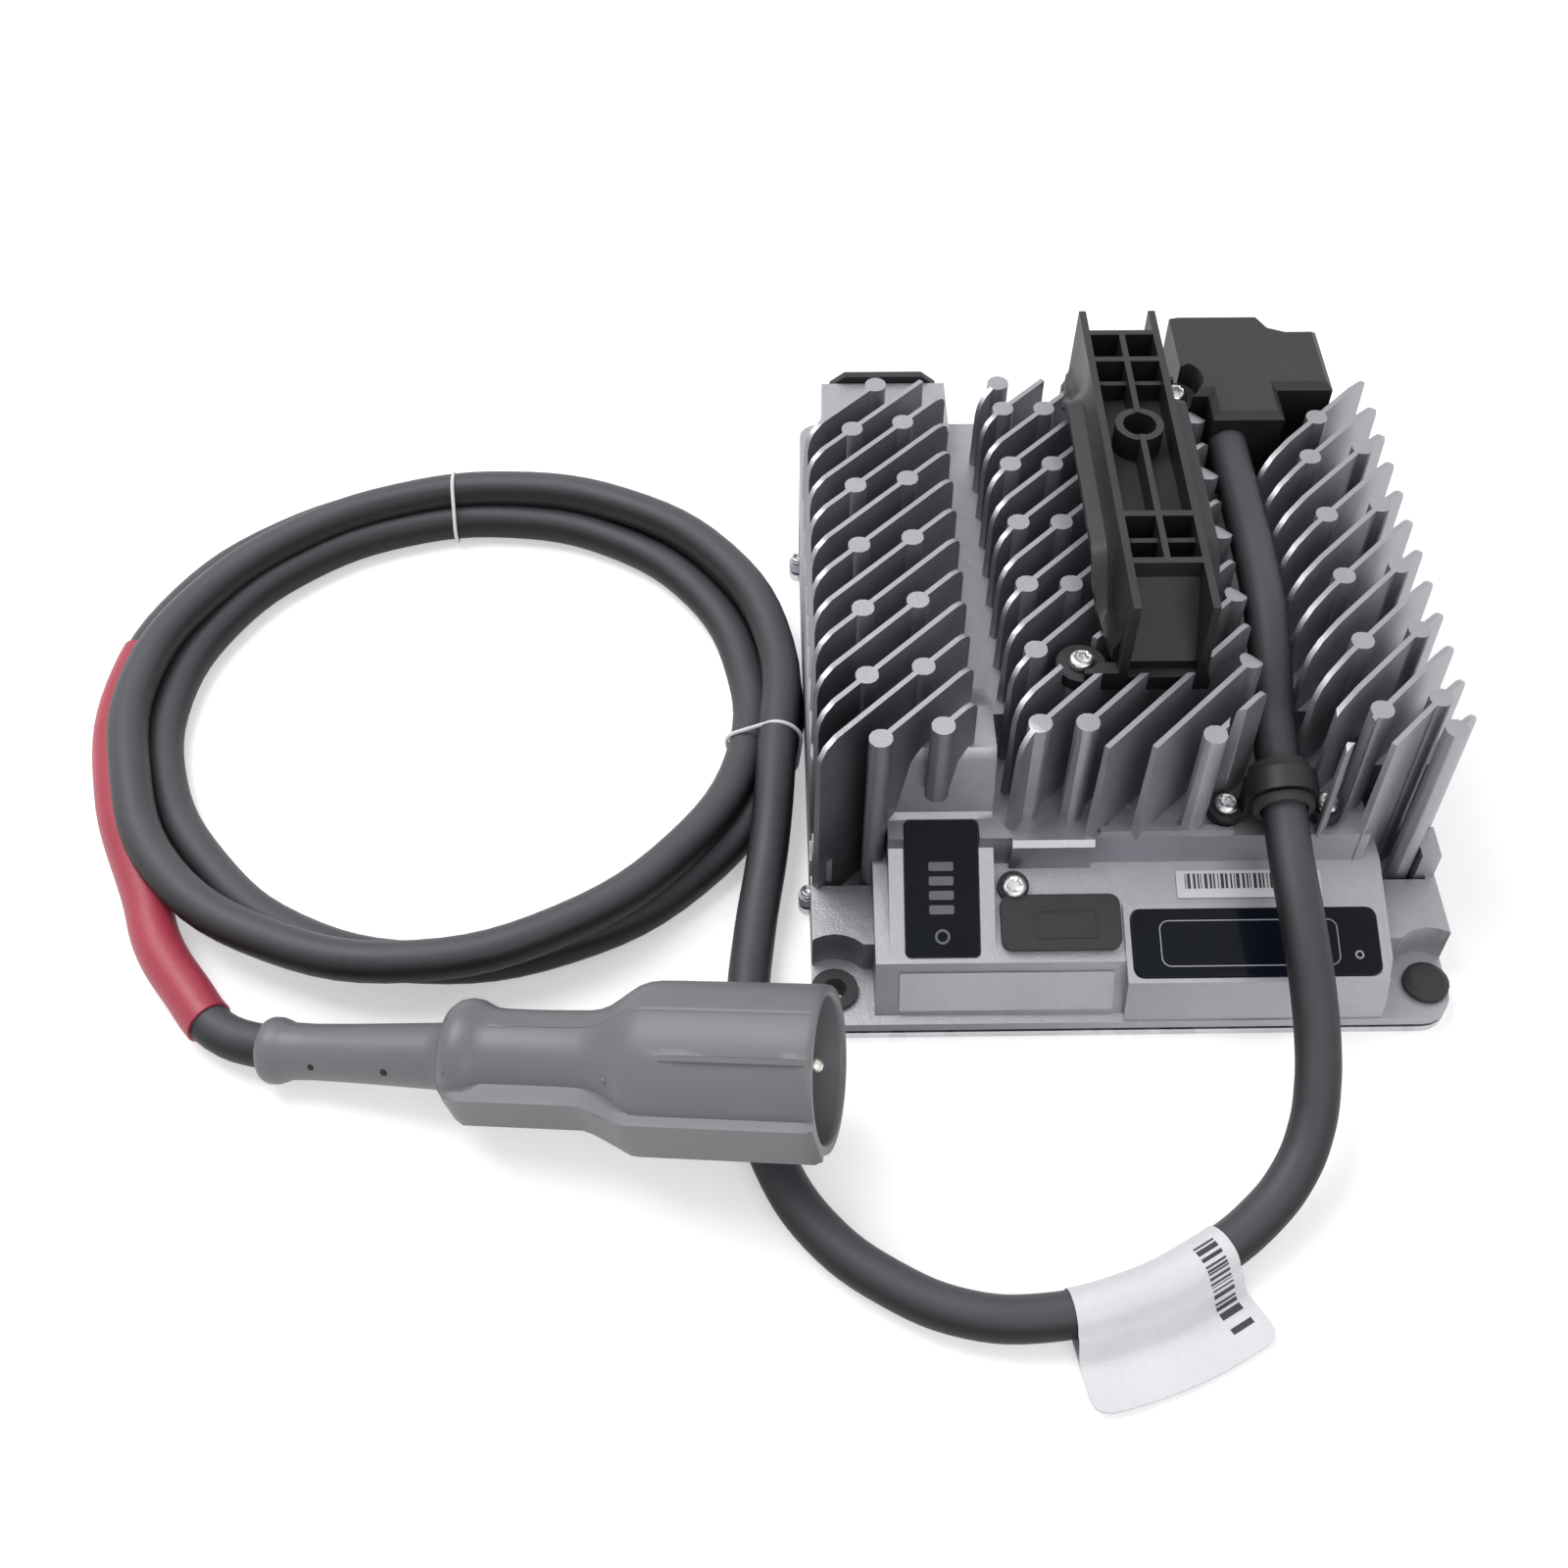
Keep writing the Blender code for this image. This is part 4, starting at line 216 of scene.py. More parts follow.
def object_from(name, bm, finish):
    """An object with one finish from a bmesh, which is used up."""
    mesh = bpy.data.meshes.new(name)
    bm.to_mesh(mesh)
    bm.free()
    mesh.materials.clear()
    mesh.materials.append(finish)
    made = bpy.data.objects.new(name, mesh)
    bpy.context.scene.collection.objects.link(made)
    return made


def rings_to_mesh(name, rings, finish, closed=False):
    """Skin rings of points that have the same count, and cap the ends."""
    bm = bmesh.new()
    rows = [[bm.verts.new(point) for point in ring] for ring in rings]
    count = len(rows[0])
    pairs = list(zip(rows, rows[1:]))
    if closed:
        pairs.append((rows[-1], rows[0]))
    for low, high in pairs:
        for i in range(count):
            j = (i + 1) % count
            bm.faces.new((low[i], low[j], high[j], high[i]))
    if not closed:
        bm.faces.new(rows[0])
        bm.faces.new(rows[-1])
    bmesh.ops.recalc_face_normals(bm, faces=bm.faces)
    made = object_from(name, bm, finish)
    made.data.shade_smooth()
    made.data.set_sharp_from_angle(angle=math.radians(38))
    return made


def circle(radius, z, lobes=0.0):
    """A ring round Z, with six lobes if asked."""
    sides = 36
    ring = []
    for i in range(sides):
        angle = 2 * math.pi * i / sides
        reach = radius + lobes * math.cos(6 * angle)
        ring.append((reach * math.cos(angle), reach * math.sin(angle), z))
    return ring


def pan_screw(name, seat, head, height, shank, length, finish):
    """A pan-head screw with a six-lobe recess, its axis along the seat's Z."""
    r = head / 2
    core = shank / 2
    key = head * 0.27
    lobe = head * 0.045
    sliver = 0.0002
    point_taper = 0.0006
    base = 0.0003
    top = base + height
    rings = [circle(sliver, -length), circle(core * 0.8, -length),
             circle(core, -length + point_taper), circle(core, base), circle(r * 0.94, base),
             circle(r, base + height * 0.12), circle(r, base + height * 0.42)]
    for share in (0.15, 0.35, 0.6, 0.85):
        swing = share * math.pi / 2
        rings.append(circle(r * (0.62 + 0.38 * math.cos(swing)),
                            base + height * (0.42 + 0.58 * math.sin(swing))))
    rings += [circle(key + lobe + sliver, top), circle(key, top - sliver, lobe),
              circle(key * 0.9, base + height * 0.3, lobe * 0.9),
              circle(sliver, base + height * 0.22)]
    made = rings_to_mesh(name, rings, finish)
    made.data.transform(seat)
    return made


bright_steel, shader, wire = new_finish("screw_steel", 0.24, 1.0)
turned_marks = noise(wire, 1500.0, 3.0)
turned_marks.tint((0.60, 0.60, 0.61, 1), (0.74, 0.74, 0.75, 1)).into(shader, "Base Color")
(0.2 + 0.16 * turned_marks).into(shader, "Roughness")
bumped(wire, turned_marks, 0.00003, shader)


def fit_screw(node, head, height, shank, up=(0, 0, 1)):
    """Put a detailed screw where a CAD screw stands, its head towards up."""
    up = Vector(up)
    lifted = 0.0003
    low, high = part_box(node)
    middle = (low + high) / 2
    reach = [up.dot(vertex.co) for vertex in nodes[node].data.vertices]
    under_head = max(reach) - height - lifted
    spot = middle + up * (under_head - up.dot(middle))
    seat = Matrix.Translation(spot) @ up.to_track_quat("Z", "Y").to_matrix().to_4x4()
    screw = pan_screw(f"{node}_pan_head", seat, head, height, shank, under_head - min(reach),
                      bright_steel)
    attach(screw, "root")
    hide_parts(node)


for number in range(1, 5):
    fit_screw(f"base_screw_{number}", 0.0048, 0.0017, 0.0028)

# Housing: one aluminium die casting that is its own heat sink.  Three banks of
# upright fins run diagonally over the deck, with ejector-pin bosses in them,
# and the sloped panel, the pockets and the lugs are cast in one piece.
def softened(node, finish, width):
    """A copy of a CAD node with its sharp edges rounded off, as a moulding has them."""
    bm = bmesh.new()
    bm.from_mesh(nodes[node].data)
    bmesh.ops.remove_doubles(bm, verts=bm.verts, dist=1e-5)
    bmesh.ops.dissolve_limit(bm, angle_limit=math.radians(1.0), verts=bm.verts, edges=bm.edges)
    sharp = [edge for edge in bm.edges
             if edge.is_manifold and edge.calc_face_angle() > math.radians(35)]
    bmesh.ops.bevel(bm, geom=sharp, offset=width, offset_type="OFFSET", segments=2, profile=0.6,
                    affect="EDGES", clamp_overlap=True)
    made = object_from(f"{node}_moulding", bm, finish)
    made.data.shade_smooth()
    made.data.set_sharp_from_angle(angle=math.radians(40))
    even = made.modifiers.new("even_shading", "WEIGHTED_NORMAL")
    even.keep_sharp = True
    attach(made, "root")
    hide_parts(node)


def part_of(wire, vector, axis):
    """One coordinate of a vector."""
    return wire.node("SeparateXYZ", None, {0: vector}, axis)


def facing(wire, axis):
    """How far the surface faces along an axis, from -1 to 1."""
    return part_of(wire, wire.node("NewGeometry", None, None, "Normal"), axis)


def eased(wire, value, low, high):
    """0 below low, 1 above high and a smooth rise between them."""
    return wire.node("MapRange", {"interpolation_type": "SMOOTHSTEP"},
                     {"Value": value, "From Min": low, "From Max": high})


cast_metal, shader, wire = new_finish("cast_aluminium", 0.42, 0.85)
place = place_in(wire)
cloud = noise(wire, 26.0, 4.0)
grain = noise(wire, 1300.0, 3.0)
flow = noise(wire, 170.0, 5.0, 0.8)
mottle = cloud * 0.5 + flow * 0.35 + grain * 0.15
across = part_of(wire, place, "X")
along = part_of(wire, place, "Y")
level = part_of(wire, place, "Z")
# Painted light: faces that look up get the lighter skin colours and the fin sides darker ones,
# as light from above falls on the tops and not the sides.
painted_top_light = eased(wire, facing(wire, "Z"), 0.25, 0.8)
tips = eased(wire, level, 0.0825, 0.0838)
# Painted shade: the fin sides darken towards the left bank (bank), and darkest at the front-left
# corner (corner), where less light reaches them.
bank = eased(wire, across, -0.080, 0.060)
corner = eased(wire, along + 0.6 * across, -0.105, -0.070)
near_side = mottle.tint((0.11, 0.112, 0.128, 1), (0.21, 0.213, 0.238, 1))
far_side = mottle.tint((0.23, 0.234, 0.266, 1), (0.42, 0.425, 0.47, 1))
shaded = corner.tint(near_side, far_side)
painted_lit_side = mottle.tint((0.29, 0.293, 0.322, 1), (0.47, 0.474, 0.506, 1))
sides = bank.tint(shaded, painted_lit_side)
skin = mottle.tint((0.31, 0.314, 0.342, 1), (0.48, 0.484, 0.512, 1))
# Painted: the fin tops get a tone of their own, a little darker than the other upward faces, to
# hold down their highlight.
painted_fin_top = mottle.tint((0.31, 0.314, 0.338, 1), (0.43, 0.435, 0.46, 1))
painted_top_light.tint(sides, tips.tint(skin, painted_fin_top)).into(shader, "Base Color")
(0.34 + 0.18 * cloud + 0.1 * grain).into(shader, "Roughness")
bumped(wire, grain * 0.6 + flow * 0.8, 0.00016, shader)
softened("heatsink_housing", cast_metal, 0.00035)

# Mounting lugs: the two round lugs at the front corners hold rubber.  The left
# one is an open bush for a bolt, and the right one is closed by a domed plug.
# Both are pushed in from above.
dress(rubber, "lug_bush", "lug_plug")

# Carrying handle: a black nylon moulding, ribbed like a bridge, on two feet
# that stand diagonally between the fins.  One pan-head screw goes through each
# foot into a post of the casting.
nylon, shader, wire = new_finish("black_nylon", 0.5)
spark = noise(wire, 2200.0, 2.0)
handled = noise(wire, 45.0, 4.0)
# Painted light: faces that look up get a lighter colour and the sides a darker one, as light
# from above falls on the tops.
painted_top_light = eased(wire, facing(wire, "Z"), 0.3, 0.95)
painted_dark_side = handled.tint((0.006, 0.006, 0.007, 1), (0.013, 0.013, 0.015, 1))
painted_lit_top = handled.tint((0.022, 0.022, 0.025, 1), (0.042, 0.042, 0.047, 1))
painted_top_light.tint(painted_dark_side, painted_lit_top).into(shader, "Base Color")
shader.inputs["Specular IOR Level"].default_value = 0.32
(0.36 + 0.2 * handled).into(shader, "Roughness")
bumped(wire, spark, 0.00006, shader)
softened("carry_handle", nylon, 0.0005)
fit_screw("handle_screw_1", 0.0075, 0.0025, 0.0035)
fit_screw("handle_screw_2", 0.0075, 0.0025, 0.0035)

# Windows: two dark glossy films let into the slopes, one over the indicator
# lights on the raised block and one on the middle panel.  They carry a faint
# printed frame, a level gauge of plain bars and a small ring.
def slope(foot, top):
    """The frame of a slope: X to the right, Y up the slope and Z out of it."""
    rise = math.atan2(top[1] - foot[1], top[0] - foot[0])
    return Matrix.Translation((0, foot[0], foot[1])) @ Matrix.Rotation(rise, 4, "X")


def crest(node, face):
    """How far a CAD node stands out of a slope."""
    back = face.inverted()
    return max((back @ vertex.co).z for vertex in nodes[node].data.vertices)


def soft_rectangle(left, right, low, high, corner):
    """An outline with round corners, 24 points."""
    outline = []
    for x, y, start in (
            (right - corner, high - corner, 0), (left + corner, high - corner, 90),
            (left + corner, low + corner, 180), (right - corner, low + corner, 270)):
        for step in range(6):
            angle = math.radians(start + 18 * step)
            outline.append((x + corner * math.cos(angle), y + corner * math.sin(angle)))
    return outline


def disc(x, y, radius):
    """A round outline, 24 points."""
    return [(x + radius * math.cos(math.radians(15 * i)),
             y + radius * math.sin(math.radians(15 * i))) for i in range(24)]


def raised(name, face, base, height, shapes, finish):
    """Flat shapes standing on a face: each is an outline and, for a frame, its hole."""
    bm = bmesh.new()
    for outer, hole in shapes:
        loops = [(outer, base), (outer, base + height)]
        if hole:
            loops += [(hole, base + height), (hole, base)]
        rows = [[bm.verts.new((x, y, z)) for x, y in loop] for loop, z in loops]
        count = len(rows[0])
        for low, high in zip(rows, rows[1:] + rows[:1] if hole else rows[1:]):
            for i in range(count):
                j = (i + 1) % count
                bm.faces.new((low[i], low[j], high[j], high[i]))
        if not hole:
            bm.faces.new(rows[0])
            bm.faces.new(rows[1])
    bmesh.ops.recalc_face_normals(bm, faces=bm.faces)
    made = object_from(name, bm, finish)
    made.data.transform(face)
    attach(made, "root")


light_face = slope((-0.1016, 0.0212), (-0.0636, 0.0452))
panel = slope((-0.1014, 0.0224), (-0.0726, 0.0317))
ink_height = 0.00005
film, shader, wire = new_finish("dark_window", 0.08)
wipe = noise(wire, 60.0, 6.0)
wipe.tint((0.004, 0.005, 0.010, 1), (0.008, 0.010, 0.017, 1)).into(shader, "Base Color")
shader.inputs["Specular IOR Level"].default_value = 0.12
(0.05 + 0.09 * wipe).into(shader, "Roughness")
bumped(wire, wipe, 0.00002, shader)
softened("indicator_window", film, 0.0003)
softened("name_window", film, 0.0003)
grey_ink, shader, wire = new_finish("grey_ink", 0.35)
screened = noise(wire, 900.0, 2.0)
screened.tint((0.085, 0.090, 0.10, 1), (0.13, 0.135, 0.15, 1)).into(shader, "Base Color")
(0.3 + 0.2 * screened).into(shader, "Roughness")
gauge = [(disc(-0.0565, 0.0085, 0.0022), disc(-0.0565, 0.0085, 0.0015))]
first_bar, bar_pitch, bar_height = 0.0150, 0.0042, 0.0026
for row in range(4):
    low = first_bar + bar_pitch * row
    gauge.append((soft_rectangle(-0.0602, -0.0530, low, low + bar_height, 0.0005), None))
raised("indicator_marks", light_face, crest("indicator_window", light_face), ink_height,
       gauge, grey_ink)
pale_ink, shader, wire = new_finish("pale_ink", 0.35)
screened = noise(wire, 900.0, 2.0)
screened.tint((0.30, 0.31, 0.33, 1), (0.42, 0.43, 0.45, 1)).into(shader, "Base Color")
(0.3 + 0.2 * screened).into(shader, "Roughness")
frame_outline = (soft_rectangle(0.0065, 0.0585, -0.0022, 0.0118, 0.0028),
                 soft_rectangle(0.0068, 0.0582, -0.0019, 0.0115, 0.0025))
lamp_ring = (disc(0.0640, 0.0008, 0.0013), disc(0.0640, 0.0008, 0.0008))
raised("window_outline", panel, crest("name_window", panel), ink_height,
       [frame_outline, lamp_ring], pale_ink)

# Labels: a satin white film with plain bars above the middle window, and a
# long silver film along the front foot.  Both are stuck into shallow recesses
# of the casting.
paper, shader, wire = new_finish("label_film", 0.5)
fibre = noise(wire, 500.0, 4.0)
faded = noise(wire, 55.0, 3.0)
(fibre * 0.5 + faded * 0.5).tint((0.60, 0.615, 0.65, 1), (0.78, 0.79, 0.815, 1)).into(
    shader, "Base Color")
(0.42 + 0.15 * fibre).into(shader, "Roughness")
bumped(wire, fibre, 0.00003, shader)
dress(paper, "serial_label")
silver_film, shader, wire = new_finish("silver_label", 0.45)
brushed = noise(wire, 420.0, 4.0)
dulled = noise(wire, 70.0, 4.0)
(brushed * 0.4 + dulled * 0.6).tint((0.34, 0.348, 0.37, 1), (0.49, 0.495, 0.515, 1)).into(
    shader, "Base Color")
(0.36 + 0.2 * dulled).into(shader, "Roughness")
bumped(wire, brushed, 0.00003, shader)
dress(silver_film, "front_label")
black_ink, shader, wire = new_finish("black_ink", 0.4)
screened = noise(wire, 900.0, 2.0)
screened.tint((0.02, 0.02, 0.022, 1), (0.05, 0.05, 0.055, 1)).into(shader, "Base Color")
(0.35 + 0.2 * screened).into(shader, "Roughness")
bars = []
left = 0.0155
bar_foot, bar_top, bar_corner = 0.0216, 0.0262, 0.00005
for number in range(26):
    thick = 0.00028 + 0.00022 * ((number * 7) % 4)
    bars.append((soft_rectangle(left, left + thick, bar_foot, bar_top, bar_corner), None))
    left += thick + 0.00042 + 0.00018 * ((number * 5) % 3)
raised("serial_bars", panel, crest("serial_label", panel), ink_height, bars, black_ink)

# Service socket: a small data socket in the slope under a rubber cover with a
# moulded frame on it, which one screw holds by its tab.
softened("usb_cover", rubber, 0.0004)
moulded_frame = (soft_rectangle(-0.0300, -0.0112, 0.0062, 0.0150, 0.0016),
                 soft_rectangle(-0.0293, -0.0119, 0.0069, 0.0143, 0.0010))
sunk_in, frame_height = 0.0001, 0.00035
raised("usb_cover_frame", panel, crest("usb_cover", panel) - sunk_in, frame_height,
       [moulded_frame], rubber)
fit_screw("usb_cover_screw", 0.0072, 0.0024, 0.003, panel.to_3x3() @ Vector((0, 0, 1)))
tin, shader, wire = new_finish("tinned_shell", 0.3, 1.0)
rubbed = noise(wire, 700.0, 3.0)
rubbed.tint((0.58, 0.58, 0.57, 1), (0.72, 0.72, 0.70, 1)).into(shader, "Base Color")
(0.22 + 0.2 * rubbed).into(shader, "Roughness")
dress(tin, "usb_socket")

# Mains inlet: a moulded flange with three plated blades in the block on the
# back wall.  The flange is nylon and the blades are pressed through it.
plated, shader, wire = new_finish("plated_contact", 0.25, 1.0)
drawn = noise(wire, 900.0, 3.0)
drawn.tint((0.66, 0.64, 0.58, 1), (0.78, 0.76, 0.70, 1)).into(shader, "Base Color")
(0.2 + 0.15 * drawn).into(shader, "Roughness")
softened("ac_inlet", nylon, 0.0004)
dress(plated, "inlet_blade_1", "inlet_blade_2", "inlet_blade_3")

# Output hood: the right-angle cover over the header of the output lead, in
# black nylon, standing behind the middle bank.  It snaps over the header.
softened("dc_hood", nylon, 0.0006)
dress(nylon, "dc_header")

# Clamp: a nylon ring on two screwed ears, round the rubber grommet that grips
# the lead where it leaves the front of the deck.
softened("cable_clamp", nylon, 0.0004)
softened("cable_grommet", rubber, 0.0003)
fit_screw("clamp_screw_1", 0.0072, 0.0024, 0.0035)
fit_screw("clamp_screw_2", 0.0072, 0.0024, 0.0035)

# Circuit inside: a green board on four screws, with a ferrite transformer, a
# copper-wound choke and three sleeved capacitors under the deck.
board_green, shader, wire = new_finish("solder_mask", 0.35)
place = place_in(wire)
tracks = wire.node("TexVoronoi", {"distance": "MANHATTAN"}, {"Vector": place, "Scale": 180.0})
tracks.tint((0.012, 0.10, 0.035, 1), (0.03, 0.20, 0.075, 1)).into(shader, "Base Color")
(0.28 + 0.2 * tracks).into(shader, "Roughness")
dress(board_green, "circuit_board")
for number in range(1, 5):
    fit_screw(f"board_screw_{number}", 0.0055, 0.0017, 0.003)
ferrite, shader, wire = new_finish("ferrite_and_tape", 0.55)
pressed = noise(wire, 600.0, 4.0)
pressed.tint((0.05, 0.05, 0.052, 1), (0.10, 0.10, 0.104, 1)).into(shader, "Base Color")
(0.45 + 0.2 * pressed).into(shader, "Roughness")
softened("transformer", ferrite, 0.0005)
winding, shader, wire = new_finish("enamelled_winding", 0.3, 0.7)
place = place_in(wire)
turns = wire.node("TexWave", {"bands_direction": "Z"}, {"Vector": place, "Scale": 250.0})
turns.tint((0.32, 0.10, 0.035, 1), (0.62, 0.24, 0.09, 1)).into(shader, "Base Color")
(0.22 + 0.2 * turns).into(shader, "Roughness")
softened("choke", winding, 0.0004)
can_sleeve, shader, wire = new_finish("capacitor_sleeve", 0.35)
shrunk = noise(wire, 200.0, 3.0)
shrunk.tint((0.018, 0.022, 0.05, 1), (0.035, 0.042, 0.085, 1)).into(shader, "Base Color")
(0.28 + 0.2 * shrunk).into(shader, "Roughness")
for number in (1, 2, 3):
    softened(f"capacitor_{number}", can_sleeve, 0.0004)

# Output lead: a heavy two-core lead with a black rubber jacket, 12.7 mm thick.
# It leaves the hood, drops through the clamp, rounds the front of the charger
# on the table and lies in two and two thirds turns before it meets its plug.
lead_width = 0.0127
coil_x, coil_y = -0.214, 0.0124
lead_route = [(0.0421, 0.0603, 0.0763), (0.0421, 0.035, 0.0763), (0.0421, 0.005, 0.0763),
              (0.0419, -0.012, 0.0748), (0.0416, -0.0285, 0.0695), (0.0413, -0.0425, 0.0622),
              (0.0413, -0.0540, 0.0582), (0.0413, -0.0752, 0.0526),
              (0.0414, -0.088, 0.0496), (0.0422, -0.100, 0.0458), (0.0431, -0.1114, 0.0412),
              (0.0439, -0.1226, 0.0356), (0.0441, -0.1336, 0.0299), (0.0432, -0.1440, 0.0247),
              (0.0408, -0.1542, 0.0191), (0.0351, -0.1650, 0.0138), (0.0245, -0.1762, 0.0099),
              (0.0082, -0.1874, 0.0080), (-0.0137, -0.1977, 0.0079), (-0.0364, -0.2026, 0.0078),
              (-0.0560, -0.2010, 0.0072), (-0.0759, -0.1919, 0.0067), (-0.0938, -0.1768, 0.0066),
              (-0.1060, -0.1560, 0.0066), (-0.1118, -0.1330, 0.0066), (-0.1132, -0.1060, 0.0067),
              (-0.1108, -0.0790, 0.0078), (-0.1064, -0.0500, 0.0115)]
# Angle, radius and height of the coil at its turning points
coil_marks = [(-16, 0.1148, 0.0185), (0, 0.1130, 0.0191), (30, 0.1095, 0.0188),
              (60, 0.1020, 0.0175), (90, 0.0960, 0.0152), (110, 0.0938, 0.0148),
              (135, 0.0932, 0.0148), (150, 0.0945, 0.0155), (165, 0.0965, 0.0165),
              (180, 0.0982, 0.0178), (200, 0.0993, 0.0182), (212, 0.1012, 0.0178),
              (224, 0.1053, 0.0165), (236, 0.1060, 0.0154), (250, 0.1060, 0.0150),
              (270, 0.1074, 0.0168), (285, 0.1065, 0.0178), (300, 0.1063, 0.0182),
              (315, 0.1053, 0.0174), (330, 0.1052, 0.0158), (345, 0.1040, 0.0120),
              (360, 0.1015, 0.0085), (380, 0.1015, 0.0064), (405, 0.0980, 0.0064),
              (430, 0.0935, 0.0064), (450, 0.0897, 0.0064), (470, 0.0882, 0.0064),
              (495, 0.0877, 0.0064), (540, 0.0900, 0.0064), (565, 0.0905, 0.0064),
              (585, 0.0918, 0.0064), (605, 0.0960, 0.0064), (620, 0.0990, 0.0064),
              (645, 0.1027, 0.0064), (660, 0.1060, 0.0064), (675, 0.1090, 0.0064),
              (690, 0.1110, 0.0064), (704, 0.1130, 0.0064), (722, 0.1135, 0.0064),
              (740, 0.1132, 0.0064), (765, 0.1090, 0.0064), (780, 0.1062, 0.0064),
              (810, 0.1018, 0.0064), (840, 0.1030, 0.0066), (870, 0.1045, 0.0078),
              (893, 0.1052, 0.0082), (906, 0.1053, 0.0082), (919, 0.1055, 0.0082),
              (932, 0.1078, 0.0082), (944, 0.1135, 0.0082)]


def coil_at(turn):
    """Radius and height of the coil at an angle, straight between its marks."""
    for before, after in zip(coil_marks, coil_marks[1:]):
        if before[0] <= turn <= after[0]:
            share = (turn - before[0]) / (after[0] - before[0])
            return (before[1] + (after[1] - before[1]) * share,
                    before[2] + (after[2] - before[2]) * share)


coil_route = []
degrees_apart = 24
for turn in range(coil_marks[0][0], coil_marks[-1][0] + 1, degrees_apart):
    angle = math.radians(turn)
    reach, height = coil_at(turn)
    coil_route.append((coil_x + reach * math.cos(angle), coil_y + reach * math.sin(angle),
                       height))
plug_tilt = math.radians(10.9)
plug_heading = math.radians(-9.6)
plug_tip = Vector((-0.2510, -0.1196, 0.0092))
plug_axis = Vector((math.cos(plug_tilt) * math.cos(plug_heading),
                    math.cos(plug_tilt) * math.sin(plug_heading), math.sin(plug_tilt)))
inside_boot = 0.004
tail_route = [(-0.2893, -0.0822, 0.0083), (-0.2780, -0.0985, 0.0082),
              (-0.2660, -0.1124, 0.0080), tuple(plug_tip + plug_axis * inside_boot)]
lead_points = lead_route + coil_route + tail_route
first_turn = len(lead_route)


def soft_curve(name, points, radius, finish):
    """A round cord through the points."""
    data = bpy.data.curves.new(name, "CURVE")
    data.dimensions = "3D"
    data.bevel_depth = radius
    data.bevel_resolution = 6
    data.resolution_u = 6
    data.use_fill_caps = True
    spline = data.splines.new("BEZIER")
    spline.bezier_points.add(len(points) - 1)
    for point, spot in zip(spline.bezier_points, points):
        point.co = spot
        point.handle_left_type = "AUTO"
        point.handle_right_type = "AUTO"
    data.materials.append(finish)
    made = bpy.data.objects.new(name, data)
    bpy.context.scene.collection.objects.link(made)
    return made


jacket, shader, wire = new_finish("lead_jacket", 0.5)
skin = noise(wire, 900.0, 3.0)
scuff = noise(wire, 30.0, 5.0)
# Painted highlight: faces of the strands that look up and back, where the light falls, get a
# lighter colour and the rest a near-black one.
painted_highlight = eased(wire, 0.9 * facing(wire, "Z") + 0.35 * facing(wire, "Y"), 0.1, 0.95)
under = scuff.tint((0.005, 0.005, 0.006, 1), (0.010, 0.010, 0.011, 1))
over = scuff.tint((0.054, 0.056, 0.063, 1), (0.088, 0.091, 0.101, 1))
painted_highlight.tint(under, over).into(shader, "Base Color")
shader.inputs["Specular IOR Level"].default_value = 0.28
(0.36 + 0.26 * scuff).into(shader, "Roughness")
bumped(wire, skin, 0.00008, shader)
lead = soft_curve("output_lead", lead_points, lead_width / 2, jacket)
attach(lead, "root")
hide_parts("cord_lead", "cord_coil", "cord_plug_lead")
bpy.context.view_layer.update()

# Coil ties: two thin loops of white coated wire, pulled tight round the bundle
# of strands, one at the back of the coil and one beside the charger.
def hull_round(strands, radius):
    """The line of a wire pulled tight round parallel strands, as (out, up) points."""
    line = []
    steps = 48
    for step in range(steps):
        angle = 2 * math.pi * step / steps
        push = Vector((math.cos(angle), math.sin(angle)))
        far = max(strands, key=push.dot)
        line.append(far + push * radius)
    return line


def wire_tie(name, degrees, node):
    """A closed loop of wire round the coil's strands at one angle."""
    strands = [Vector(coil_at(turn)) for turn in (degrees, degrees + 360, degrees + 720)]
    wire_radius, clearance, lowest = 0.00065, 0.0005, 0.0008
    angle = math.radians(degrees)
    out = Vector((math.cos(angle), math.sin(angle), 0))
    along = Vector((-out.y, out.x, 0))
    middle = Vector((coil_x, coil_y, 0))
    rings = []
    path = hull_round(strands, lead_width / 2 + clearance)
    for i, spot in enumerate(path):
        step = path[(i + 1) % len(path)] - path[i - 1]
        across = Vector((step.y, -step.x)).normalized()
        height = max(spot.y, lowest)
        ring = []
        for k in range(8):
            swing = 2 * math.pi * k / 8
            push = across * math.cos(swing) * wire_radius
            ring.append(middle + out * (spot.x + push.x) + Vector((0, 0, height + push.y))
                        + along * math.sin(swing) * wire_radius)
        rings.append(ring)
    made = rings_to_mesh(name, rings, tie_white, closed=True)
    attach(made, "root")
    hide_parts(node)
    return made


tie_white, shader, wire = new_finish("coated_wire", 0.4)
coat = noise(wire, 300.0, 3.0)
coat.tint((0.62, 0.62, 0.64, 1), (0.80, 0.80, 0.82, 1)).into(shader, "Base Color")
(0.32 + 0.2 * coat).into(shader, "Roughness")
back_tie = wire_tie("back_wire_tie", 92, "coil_tie_1")
side_tie = wire_tie("side_wire_tie", -12, "coil_tie_2")

# Shrink sleeve: pink-red heat-shrink tube over the last stretch of the lead,
# from the coil to just short of the plug, shrunk on and cut square.
def lead_between(first, last, steps):
    """Fine points on the lead from one of its route points to another."""
    spots = []
    points = lead.data.splines[0].bezier_points
    for near, far in zip(points[first:last], points[first + 1:last + 1]):
        spots += interpolate_bezier(near.co, near.handle_right, far.handle_left, far.co,
                                    steps + 1)[:-1]
    return spots


def crosswise(spots):
    """At each point of a path: the point, its level side and its upper direction."""
    for i, spot in enumerate(spots):
        ahead = (spots[min(i + 1, len(spots) - 1)] - spots[max(i - 1, 0)]).normalized()
        side = ahead.cross(Vector((0, 0, 1))).normalized()
        yield spot, side, side.cross(ahead)


